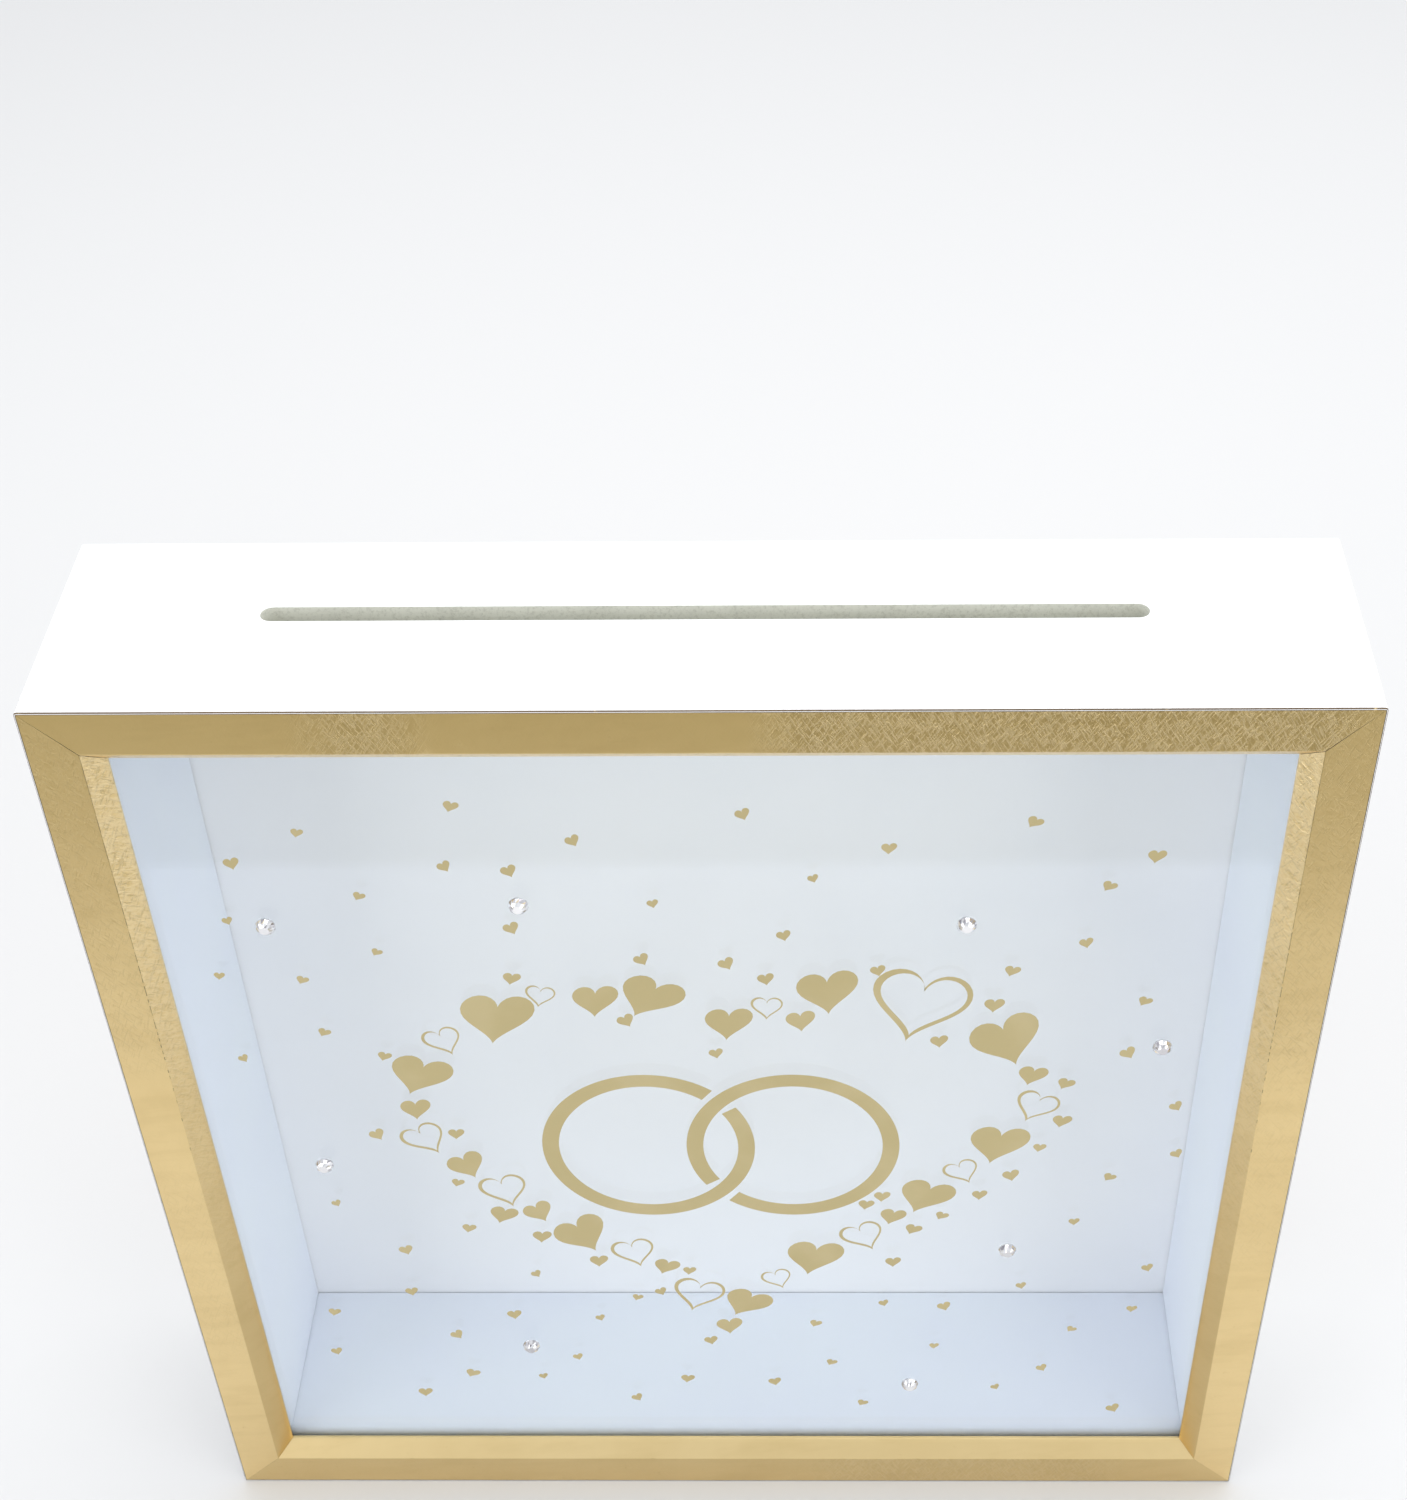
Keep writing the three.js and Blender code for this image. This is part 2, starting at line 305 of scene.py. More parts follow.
@dataclass(frozen=True)
class RoutedEdge(TwoTone):
    """Routed fibreboard with one thin coat of paint: a grey-green darker than the case, partly its own colour
    and partly painted shade of the narrow slot, with the board's pits in it.
    """

    def build(self) -> bpy.types.Material:
        """Lays out the edge.

        Returns:
            The material.
        """
        bench = Bench.named(self.name)
        grain = bench.noise(1300.0, 3.0, 0.7)
        factor = grain.between(0.45, 0.7) * 0.7 + bench.noise(90.0).between(0.45, 0.75) * 0.2
        return bench.coat(
            base_color=bench.blend(factor, self.tone, self.second),
            roughness=grain * 0.15 + self.gloss,
            normal=bench.bump(grain, 0.08, 0.6),
        )


@dataclass(frozen=True)
class GoldInk(TwoTone):
    """Matte gold ink, screen-printed on the glass, with thinner clouds and dots."""

    def build(self) -> bpy.types.Material:
        """Lays out the ink.

        Returns:
            The material.
        """
        bench = Bench.named(self.name)
        dots = bench.noise(1800.0, 2.0)
        factor = bench.noise(60.0).between(0.4, 0.7) * 0.5 + dots * 0.3
        return bench.coat(
            base_color=bench.blend(factor, self.tone, self.second),
            metallic=0.15,
            roughness=dots * 0.1 + self.gloss,
            normal=bench.bump(dots, 0.01, 0.5),
        )


@dataclass(frozen=True)
class FoiledCrystal(TwoTone):
    """A cut glass stone with silver foil behind it: each facet has a painted reflection, a tone from dark to
    bright, with painted sparkle over it.
    """

    def build(self) -> bpy.types.Material:
        """Lays out the stone.

        Returns:
            The material.
        """
        bench = Bench.named(self.name)
        # Painted sparkle and facet reflections, mixed into the base colour.
        painted_fire = bench.noise(900.0, 2.0)
        factor = (bench.stored(FACET_GLINT) * 0.85 + painted_fire * 0.2).held()
        return bench.coat(
            base_color=bench.blend(factor, self.tone, self.second),
            metallic=0.75,
            roughness=painted_fire * 0.06 + self.gloss,
            coat_weight=1.0,
            coat_roughness=0.02,
        )


@dataclass(frozen=True)
class PressedBoard(TwoTone):
    """Bare pressed fibreboard: brown, with crossing fibres and fuzz."""

    def build(self) -> bpy.types.Material:
        """Lays out the board.

        Returns:
            The material.
        """
        bench = Bench.named(self.name)
        fibres = bench.streaks(33.0, (620.0, 900.0, 1700.0), 4.0, 0.75)
        crossed = bench.streaks(-52.0, (500.0, 900.0, 1900.0), 3.0, 0.7)
        fuzz = bench.noise(1500.0, 3.0, 0.7)
        strands = fibres.between(0.5, 0.72).most(crossed.between(0.55, 0.75))
        factor = (strands * 0.4 + fuzz * 0.35 + bench.noise(10.0) * 0.3).held()
        return bench.coat(
            base_color=bench.blend(factor, self.tone, self.second),
            roughness=fuzz * 0.15 + self.gloss,
            normal=bench.bump(fibres * 0.5 + fuzz * 0.5, 0.08, 0.5),
        )


@dataclass(frozen=True)
class PlatedMetal(TwoTone):
    """Bright plating on small hardware, rubbed in places, with fine handling marks."""

    def build(self) -> bpy.types.Material:
        """Lays out the plating.

        Returns:
            The material.
        """
        bench = Bench.named(self.name)
        cloud = bench.noise(260.0, 4.0, 0.6)
        hairs = bench.streaks(24.0, (500.0, 500.0, 5200.0), 2.0, 0.6)
        return bench.coat(
            base_color=bench.blend(cloud.between(0.4, 0.75), self.tone, self.second),
            metallic=1.0,
            roughness=cloud * 0.2 + self.gloss + hairs.between(0.5, 0.7) * 0.1,
            normal=bench.bump(hairs, 0.01, 0.4),
        )


@dataclass(frozen=True)
class GoldLeaf:
    """Pale gold leaf on a moulding: soft streaks, and dense crossing brush marks and creases in places.

    The moulding's mesh stores how strongly the leaf is marked or creased; on the slopes that value grows with
    height and also sets their painted shade.

    Attributes:
        name: The material's name.
        shaded: Share of the shade colour where the leaf has no work, and where it has full work; on the
            bottom face and the lower slopes it is painted shade.
        crease: How strongly creases show.
        bare: Share of the ground that shows, from 0 to 1.
        bright: Colour of fresh leaf.
        dull: Colour of rubbed leaf.
        shade: Colour of leaf rubbed down to its undercoat, also used as painted shade.
        ground: Colour of the brown ground where the leaf has gone.
        glint: Colour of the raised marks and creases, a painted highlight.
    """

    name: str
    shaded: tuple[float, float] = (0.0, 0.8)
    crease: float = 0.0
    bare: float = 0.0
    bright: Triple = (0.87, 0.67, 0.34)
    dull: Triple = (0.78, 0.59, 0.285)
    shade: Triple = (0.56, 0.42, 0.195)
    ground: Triple = (0.09, 0.055, 0.025)
    glint: Triple = (1.0, 0.84, 0.55)

    @staticmethod
    def _marks(bench: Bench, angles: tuple[float, float], low: float) -> Wire:
        """Fine brush marks in two directions.

        Args:
            bench: The material.
            angles: The directions' lean in the plane of the frame, in degrees.
            low: The noise at which a mark begins; a higher one leaves fewer marks.

        Returns:
            1 in a mark and 0 beside it.
        """
        stretch = (270.0, 270.0, 2500.0)
        first, second = (bench.streaks(a, stretch, 2.0, 0.55).between(low, low + 0.08) for a in angles)
        return first.most(second)

    @staticmethod
    def _creases(bench: Bench) -> Wire:
        """Leathery creases: lines where a stretched noise passes its middle, on two scales.

        Args:
            bench: The material.

        Returns:
            1 on a crease, falling to 0 beside it.
        """
        long = bench.streaks(-38.0, (200.0, 200.0, 600.0), 3.0, 0.6)
        short = bench.streaks(41.0, (480.0, 480.0, 1000.0), 2.0, 0.5)
        lines = (1.0 - (long * 2.0 - 1.0).size() * 4.5).held()
        return lines.most((1.0 - (short * 2.0 - 1.0).size() * 3.5).held() * 0.7)

    def build(self) -> bpy.types.Material:
        """Lays out the leaf.

        Returns:
            The material.
        """
        bench = Bench.named(self.name)
        work_and_shade = bench.stored(WORK_AND_SHADE)
        cloud = bench.noise(26.0, 4.0, 0.6)
        streak = bench.streaks(6.0, (38.0, 100.0, 210.0), 3.0, 0.6)
        raised = self._marks(bench, (57.0, -61.0), 0.53) * work_and_shade
        sunk = self._marks(bench, (68.0, -50.0), 0.56) * work_and_shade
        if self.crease:
            raised = (raised * 0.4).most(self._creases(bench) * work_and_shade * self.crease)
        rubbed = cloud.between(0.35, 0.68) * 0.6 + streak.between(0.45, 0.7) * 0.4
        leaf = bench.blend(rubbed, self.bright, self.dull)
        first, last = self.shaded
        # Darkens towards the shade colour: wear where the leaf has marks, and painted shade on the bottom
        # face and the lower slopes.
        leaf = bench.blend(work_and_shade * (last - first) + first, leaf, self.shade)
        leaf = bench.blend((sunk * 0.55).held(), leaf, self.shade)
        # Painted highlight: raised marks and creases lightened towards the glint colour.
        leaf = bench.blend((raised * 0.36).held(), leaf, self.glint)
        gone_from = 0.62 - self.bare * 0.4
        gone = bench.noise(330.0, 4.0, 0.7).between(gone_from, gone_from + 0.18)
        return bench.coat(
            base_color=bench.blend(gone * (0.06 + self.bare * 0.9), leaf, self.ground),
            metallic=1.0 - gone * self.bare if self.bare else 1.0,
            roughness=cloud * 0.08 + streak * 0.06 + 0.27 + gone * 0.2,
            normal=bench.bump(bench.noise(900.0, 3.0, 0.65) * 0.12 + raised - sunk * 0.6, 0.1, 0.75),
        )


@dataclass(frozen=True)
class ClearPane:
    """Float glass: clear, with the mirror of its surface growing towards grazing sight.

    Attributes:
        name: The material's name.
        tint: What it lets through.
        mirror: Share mirrored when seen square on.
        sheen: Colour of what it mirrors.
    """

    name: str
    tint: Triple
    mirror: float
    sheen: Triple

    def build(self) -> bpy.types.Material:
        """Lays out the glass.

        Returns:
            The material.
        """
        bench = Bench.named(self.name)
        facing = bench.node("ShaderNodeLayerWeight", {"Blend": 0.5}, "Facing")
        share = facing**5.0 * (1.0 - self.mirror) + self.mirror
        smears = bench.noise(9.0, 3.0, 0.6) * 0.03 + 0.01
        gloss = bench.node("ShaderNodeBsdfAnisotropic", {"Color": (*self.sheen, 1.0), "Roughness": smears})
        clear = bench.node("ShaderNodeBsdfTransparent", {"Color": (*self.tint, 1.0)})
        return bench.finish(bench.node("ShaderNodeMixShader", {0: share, 1: clear, 2: gloss}))


@dataclass(frozen=True)
class StudioSweep:
    """The pale, plain floor of the studio.

    Attributes:
        name: The material's name.
        tone: Its colour.
    """

    name: str
    tone: Triple

    def build(self) -> bpy.types.Material:
        """The floor as a material."""
        bench = Bench.named(self.name)
        return bench.coat(base_color=(*self.tone, 1.0), roughness=bench.noise(120.0, 2.0) * 0.1 + 0.75)


class Coat(Enum):
    """Every finish, with what its material is built from."""

    CASE = RollerPaint("case_paint", (0.9, 0.905, 0.91), (0.88, 0.885, 0.89), 0.38)
    # Pale blue-white: partly the liner's own tint, partly painted cool shade of the box's inside.
    LINER = RollerPaint("liner_paint", (0.845, 0.88, 0.945), (0.825, 0.855, 0.945), 0.5)
    FACING = RollerPaint("panel_facing", (0.93, 0.92, 0.95), (0.91, 0.905, 0.94), 0.55)
    LEAF = GoldLeaf("gold_leaf")
    CREASED_LEAF = GoldLeaf("gold_leaf_creased", (0.0, 0.2), crease=0.7)
    # Painted shade: leaf for the bottom face, darker everywhere.
    LOW_LEAF = GoldLeaf("gold_leaf_low_painted_shade", (0.4, 0.6))
    # Painted shade: the slope's leaf darkens towards the bottom of the box, and creases show higher up.
    SLOPE_LEAF = GoldLeaf("gold_leaf_slope_painted_shade", (0.5, 0.0), crease=1.4)
    RIDGE_LEAF = GoldLeaf("gold_leaf_ridge", (0.85, 0.85), bare=0.55)
    EDGE_LEAF = GoldLeaf("gold_leaf_edge", bare=1.0, dull=(0.5, 0.36, 0.16))
    # The slot's wall: part of its grey is painted shade of the narrow slot.
    ROUTED = RoutedEdge("routed_edge", (0.68, 0.68, 0.6), (0.5, 0.5, 0.43), 0.6)
    GLASS = ClearPane("clear_pane", (0.975, 0.988, 0.985), 0.05, (0.95, 0.97, 1.0))
    INK = GoldInk("gold_ink", (0.475, 0.39, 0.19), (0.545, 0.456, 0.25), 0.5)
    CRYSTAL = FoiledCrystal("foiled_crystal", (0.22, 0.2, 0.23), (1.0, 0.99, 1.0), 0.04)
    BOARD = PressedBoard("pressed_board", (0.36, 0.235, 0.13), (0.55, 0.4, 0.25), 0.68)
    # The mitre's end faces: bare board toned far darker than the board, as painted shade in the narrow gap.
    JOINT = PressedBoard("mitre_joint", (0.09, 0.06, 0.035), (0.2, 0.13, 0.07), 0.68)
    BRASS = PlatedMetal("brass_plate", (0.72, 0.5, 0.19), (0.6, 0.4, 0.15), 0.22)
    ZINC = PlatedMetal("zinc_plate", (0.62, 0.63, 0.64), (0.5, 0.5, 0.5), 0.3)
    FLOOR = StudioSweep("studio_sweep", (0.655, 0.65, 0.645))


# ---------------------------------------------------------------------------------------------------
# Shapes from arrays
# ---------------------------------------------------------------------------------------------------


def joined(*axes: np.ndarray | float) -> np.ndarray:
    """Points with these arrays and numbers, stretched to one shape, as their coordinates."""
    return np.stack(np.broadcast_arrays(*axes), axis=-1)


def polar(radius: np.ndarray | float, angle: np.ndarray) -> np.ndarray:
    """Points (radius x cosine, radius x sine)."""
    return joined(radius * np.cos(angle), radius * np.sin(angle))


def spun(x: np.ndarray, z: np.ndarray, angle: np.ndarray | float) -> tuple[np.ndarray, np.ndarray]:
    """x and z turned by an angle in radians, from x towards z."""
    return x * np.cos(angle) - z * np.sin(angle), x * np.sin(angle) + z * np.cos(angle)


def grid_faces(rows: int, cols: int, wrap_rows: bool = False, wrap_cols: bool = True) -> np.ndarray:
    """Four-cornered faces between neighbours on a grid, whose corner (r, c) has number r x cols + c.

    Args:
        rows: Number of rows.
        cols: Number of columns.
        wrap_rows: Whether the last row joins the first.
        wrap_cols: Whether the last column joins the first.

    Returns:
        Corner numbers, one face a line.
    """
    row = np.arange(rows if wrap_rows else rows - 1)
    col = np.arange(cols if wrap_cols else cols - 1)
    row, col = np.meshgrid(row, col, indexing="ij")
    below, beside = (row + 1) % rows * cols, (col + 1) % cols
    return joined(row * cols + col, row * cols + beside, below + beside, below + col).reshape(-1, 4)


def end_caps(rows: int, cols: int) -> np.ndarray:
    """The two many-sided faces that close the first and the last row of a grid whose columns wrap."""
    ring = np.arange(cols)
    return np.stack([ring[::-1], ring + (rows - 1) * cols])


def signed_volume(points: np.ndarray, blocks: Sequence[np.ndarray]) -> float:
    """Volume inside a closed mesh, positive if its faces point outwards.

    Each face is cut into triangles that fan out from its first corner, and a sixth of each triangle's triple
    product is added up.

    Args:
        points: Corners.
        blocks: Faces, in blocks with the same number of corners.

    Returns:
        The volume.
    """
    total = 0.0
    for block in blocks:
        corners = points[block]
        crossed = np.cross(corners[:, 1:-1], corners[:, 2:])
        total += float(np.sum(corners[:, :1] * crossed)) / 6.0
    return total


def rounded_section(depths: Sequence[float], heights: Sequence[float], radii: Sequence[float]) -> np.ndarray:
    """A rectangle with rounded corners, for a board's section.

    Each corner is a quarter circle about a centre one radius in from both sides. A point half a radius past
    each end of an arc holds the flat beside it straight.

    Args:
        depths: Front and rear edges.
        heights: Outer and inner edges, as depth below the outer face.
        radii: Radius at outer front, outer rear, inner rear and inner front.

    Returns:
        Points (depth, height below the outer face), once round.
    """
    signs = np.array([(-1, -1), (1, -1), (1, 1), (-1, 1)])
    loops = []
    for number, (sign, radius) in enumerate(zip(signs, radii)):
        corner = np.array([depths[(sign[0] + 1) // 2], heights[(sign[1] + 1) // 2]], dtype=float)
        turn = math.pi + number * QUARTER + np.linspace(0.0, QUARTER, 5)
        arc = corner - sign * radius + polar(radius, turn)
        lead = arc[0] + 0.5 * radius * np.array([math.sin(turn[0]), -math.cos(turn[0])])
        tail = arc[-1] - 0.5 * radius * np.array([math.sin(turn[-1]), -math.cos(turn[-1])])
        loops.append(np.vstack([lead, arc, tail]))
    return np.vstack(loops)


def mitred_sweep(
    section: np.ndarray, length: float, round_over: float, gaps: tuple[float, float], steps: int
) -> np.ndarray:
    """Carries a section along a side and cuts both ends at 45 degrees.

    A point at depth h below the outer face runs out to half the length less h. Where h is less than the
    round-over, its last stretch bends through an eighth of a circle about the point one round-over in from
    both outer faces, so that two sides meet in one quarter circle. The gap at each mitre opens from the outer
    corner inwards.

    Args:
        section: Points (depth, height below the outer face), once round.
        length: Outer length of the side.
        round_over: Radius of the box's outer corner.
        gaps: Half the gap at each mitre, along the side: first end and last end.
        steps: Stations along the straight stretch.

    Returns:
        Points (along, depth, height below the outer face), one row for each station.
    """
    depth, below = section.T
    start = np.maximum(round_over, below)
    reach = length / 2 - start
    bend = np.maximum(round_over - below, 0.0)
    lead = 0.25
    share = np.linspace(0.0, 1.0, 5)[:, None]
    end_along = reach - lead * (1.0 - share) + bend * np.sin(share * QUARTER / 2)
    end_below = start - bend * np.cos(share * QUARTER / 2)
    straight = np.linspace(-1.0, 1.0, steps)[1:-1, None] * (reach - lead)
    along = np.vstack([-end_along[::-1], straight, end_along])
    height = np.vstack([end_below[::-1], np.broadcast_to(below, straight.shape), end_below])
    opening = np.clip(below / 10.0, 0.25, 1.0) * 2 / length
    return joined(along * (1.0 - opening * np.where(along < 0, *gaps)), depth, height)


# ---------------------------------------------------------------------------------------------------
# The box's plan, from the frame
# ---------------------------------------------------------------------------------------------------


def node_box(node: str) -> np.ndarray:
    """Lowest and highest corner of a CAD node, in millimetres."""
    return np.array(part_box(node)) / MM


class Side(Enum):
    """A side of the box, with the turn about Y that brings the top there, in degrees."""

    TOP = 0
    RIGHT = 90
    BOTTOM = 180
    LEFT = 270

    @property
    def label(self) -> str:
        """The side's name in the frame's nodes."""
        return self.name.lower()

    @property
    def upright(self) -> bool:
        """Whether the side stands up."""
        return self in (Side.LEFT, Side.RIGHT)

    def place(self, local: np.ndarray, half: float, centre_z: float) -> np.ndarray:
        """Turns points from the side's own axes into the box's.

        Args:
            local: Points whose third coordinate is the depth below the side's outer face.
            half: Distance from the box's centre to the outer face.
            centre_z: Height of the box's centre.

        Returns:
            Points in the box's axes.
        """
        x, z = spun(local[..., 0], half - local[..., 2], -math.radians(self.value))
        return joined(x, local[..., 1], z + centre_z)


@dataclass(frozen=True)
class Plan:
    """Places that every piece shares, in millimetres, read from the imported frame.

    Attributes:
        width: Outer width and height of the square box.
        front: Front of the gold frame.
        case_front: Where the white case begins behind it.
        rim: The case's rear rim.
        wall: Thickness of the case boards.
        slot_y: Middle of the card slot.
    """

    width: float
    front: float
    case_front: float
    rim: float
    wall: float
    slot_y: float

    @classmethod
    def from_frame(cls, record: dict) -> Plan:
        """Reads the plan.

        Args:
            record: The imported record.

        Returns:
            The plan.
        """
        case_low, case_high = node_box("case_bottom")
        slot = next(o["box_m"] for o in record["physics"]["openings"] if o["name"] == "card_slot")
        return cls(
            width=float(node_box("case_right")[1][0] - node_box("case_left")[0][0]),
            front=float(node_box("frame_bottom")[0][1]),
            case_front=float(case_low[1]),
            rim=float(case_high[1]),
            wall=float(case_high[2] - case_low[2]),
            slot_y=float(np.mean(slot, axis=0)[1] / MM),
        )

    @property
    def half(self) -> float:
        """Half the box's width."""
        return self.width / 2

    @property
    def centre_z(self) -> float:
        """Height of the box's centre."""
        return self.width / 2


@dataclass
class Assembly:
    """A group of pieces, with what all groups share.

    Attributes:
        plan: Shared places.
        finishes: The material of each coat.
    """

    plan: Plan
    finishes: dict[Coat, bpy.types.Material]

    def piece(
        self,
        name: str,
        points: np.ndarray,
        blocks: Sequence[np.ndarray],
        coats: Sequence[Coat],
        slot: str,
        *nodes: str,
        body: str = ROOT_BODY,
        painted: np.ndarray | None = None,
        crease: float = 32.0,
    ) -> bpy.types.Object:
        """Makes a closed mesh with its faces outwards, puts it on its body, and reports it.

        Args:
            name: The piece's name.
            points: Corners in millimetres.
            blocks: Faces, in blocks with the same number of corners.
            coats: The piece's finishes.
            slot: The record's material slot; not used.
            nodes: The CAD nodes that it stands for.
            body: The body that it moves with.
            painted: Which finish each face has, in the blocks' order; the first unless given.
            crease: Angle in degrees above which an edge looks sharp.

        Returns:
            The object, at the origin.
        """
        if signed_volume(points, blocks) < 0:
            blocks = [block[:, ::-1] for block in blocks]
        mesh = bpy.data.meshes.new(name)
        mesh.from_pydata((points * MM).tolist(), [], [face for block in blocks for face in block.tolist()])
        for coat in coats:
            mesh.materials.append(self.finishes[coat])
        if painted is not None:
            mesh.polygons.foreach_set("material_index", painted.astype(np.int32))
        mesh.polygons.foreach_set("use_smooth", np.ones(len(mesh.polygons), dtype=bool))
        mesh.set_sharp_from_angle(angle=math.radians(crease))
        mesh.update()
        piece = bpy.data.objects.new(name, mesh)
        bpy.context.scene.collection.objects.link(piece)
        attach(piece, body)
        if nodes:
            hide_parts(*nodes)
        log.info("%s: %d faces on body %s", name, len(mesh.polygons), body)
        return piece

    def sweep(
        self, name: str, rings: np.ndarray, coats: Sequence[Coat], slot: str, *nodes: str, **more: object
    ) -> bpy.types.Object:
        """Makes a piece of closed loops, one after another, with a face over the first and the last.

        Args:
            name: The piece's name.
            rings: Points in millimetres, one row for each loop.
            coats: The piece's finishes.
            slot: The record's material slot.
            nodes: The CAD nodes that it stands for.
            more: What else piece() takes.

        Returns:
            The object.
        """
        rows, cols, _ = rings.shape
        blocks = [grid_faces(rows, cols), end_caps(rows, cols)]
        return self.piece(name, rings.reshape(-1, 3), blocks, coats, slot, *nodes, **more)

    def ring(
        self, name: str, rings: np.ndarray, coats: Sequence[Coat], slot: str, *nodes: str, **more: object
    ) -> bpy.types.Object:
        """Makes a piece of closed loops, the last of which joins the first. It takes what sweep() takes."""
        blocks = [grid_faces(*rings.shape[:2], wrap_rows=True)]
        return self.piece(name, rings.reshape(-1, 3), blocks, coats, slot, *nodes, **more)


# ---------------------------------------------------------------------------------------------------
# Boards and mouldings
# ---------------------------------------------------------------------------------------------------


@dataclass
class SlottedSlab:
    """A flat board with a round-ended slot through it: a ring whose section is carried round the slot.

    Attributes:
        length: Length of its outer face.
        depths: Front and rear edges.
        thickness: From outer to inner face.
        mitred: Whether its ends are cut at 45 degrees.
        edge: Round-over of its outer ends and rear edge.
        ease: Ease of its other edges.
        slot_y: Middle of the slot.
        slot_length: Slot, end to end.
        slot_width: Slot, across.
        lip: Round-over of the slot's edges.
        along_steps: Points along each long side.
        end_steps: Points along each end, between the corners.
    """

    length: float
    depths: tuple[float, float]
    thickness: float
    mitred: bool
    edge: float
    ease: float
    slot_y: float
    slot_length: float
    slot_width: float
    lip: float
    along_steps: int = 60
    end_steps: int = 20

    def _slot_ring(self, grown: float) -> np.ndarray:
        """Points round the slot, counter-clockwise from its front left: two straights and two half circles.

        Args:
            grown: How far outside the slot's wall.

        Returns:
            Points (along, depth).
        """
        radius = self.slot_width / 2
        straight = self.slot_length / 2 - radius
        front = joined(np.linspace(-straight, straight, self.along_steps), -radius - grown)
        turn = np.linspace(-QUARTER, QUARTER, self.end_steps + 2)[1:-1]
        right = polar(radius + grown, turn) + [straight, 0.0]
        return np.vstack([front, right, -front, -right]) + [0.0, self.slot_y]

    def _edge_ring(self, end_inset: float, front_inset: float, rear_inset: float) -> np.ndarray:
        """Points round the board's outline, matched one to one with the slot's.

        Args:
            end_inset: How far in from the ends.
            front_inset: How far in from the front edge.
            rear_inset: How far in from the rear edge.

        Returns:
            Points (along, depth).
        """
        half = self.length / 2 - end_inset
        front, rear = self.depths[0] + front_inset, self.depths[1] - rear_inset
        run = np.linspace(-half, half, self.along_steps)
        rise = np.linspace(front, rear, self.end_steps + 2)[1:-1]
        edges = [(run, front), (half, rise), (run[::-1], rear), (-half, rise[::-1])]
        return np.vstack([joined(*edge) for edge in edges])

    def _masks(self) -> tuple[np.ndarray, np.ndarray, np.ndarray]:
        """Sorts the outline's points; corners lie on two edges.

        Returns:
            Which lie on the ends, on the front edge and on the rear edge.
        """
        run, rise = self.along_steps, self.end_steps
        number = np.arange(2 * (run + rise))
        front = number < run
        rear = (number >= run + rise) & (number < 2 * run + rise)
        ends = ~(front | rear)
        ends[[0, run - 1, run + rise, 2 * run + rise - 1]] = True
        return ends, front, rear

    def _outer_rows(self) -> list[np.ndarray]:
        """Carries the outline over the outer face's edge.

        The edge is an eighth of a circle at mitred ends and a quarter elsewhere. No point of a mitred board
        passes the plane of its mitre.

        Returns:
            Rows of points (along, depth, height below the outer face).
        """
        ends, front, rear = self._masks()
        rows = []
        for turn in np.linspace(0.0, QUARTER, 6):
            end_turn = turn / 2 if self.mitred else turn
            inset, drop = 1 - math.sin(turn), 1 - math.cos(turn)
            end_inset, end_drop = 1 - math.sin(end_turn), 1 - math.cos(end_turn)
            ring = self._edge_ring(self.edge * end_inset, self.ease * inset, self.edge * inset)
            drops = [self.edge * end_drop * ends, self.ease * drop * front, self.edge * drop * rear]
            below = np.maximum.reduce(drops)
            if self.mitred:
                reach = self.length / 2 - below
                ring[:, 0] = np.clip(ring[:, 0], -reach, reach)
            rows.append(joined(*ring.T, below))
        return rows

    def _inner_rows(self) -> list[np.ndarray]:
        """Carries the outline over the inner face's edge, eased all round but for mitred ends.

        Returns:
            Rows of points (along, depth, height below the outer face).
        """
        rows = []
        for turn in np.linspace(0.0, QUARTER, 4):
            gap = self.ease * (1 - math.cos(turn))
            below = self.thickness - self.ease * (1 - math.sin(turn))
            rows.append(joined(*self._edge_ring(below if self.mitred else gap, gap, gap).T, below))
        return rows

    def _slot_rows(self) -> list[np.ndarray]:
        """Carries the slot's outline down its wall, rounded at both faces.

        Returns:
            Rows of points (along, depth, height below the outer face).
        """
        turns = np.linspace(0.0, QUARTER, 5)
        rings = [self._slot_ring(self.lip * (1 - math.sin(turn))) for turn in turns]
        rows = [joined(*ring.T, self.lip * (1 - math.cos(turn))) for ring, turn in zip(rings, turns)]
        return rows + [row * [1, 1, -1] + [0, 0, self.thickness] for row in rows[::-1]]

    def surface(self) -> tuple[np.ndarray, np.ndarray]:
        """Makes the whole board, with rows close to each edge that hold the faces flat.

        Returns:
            Rows of points (along, depth, height below the outer face), and 1 for a face of the slot's wall.
        """
        slot, outer, inner = self._slot_rows(), self._outer_rows(), self._inner_rows()
        hold = [slot[0] * (1 - share) + outer[0] * share for share in (0.02, 0.5, 0.98)]
        back = [inner[-1] * (1 - share) + slot[-1] * share for share in (0.02, 0.5, 0.98)]
        rows = np.stack([*slot[::-1], *hold, *outer, *inner, *back])
        painted = np.zeros(rows.shape[:2])
        painted[3 : len(slot) - 4] = 1
        return rows, painted.ravel()


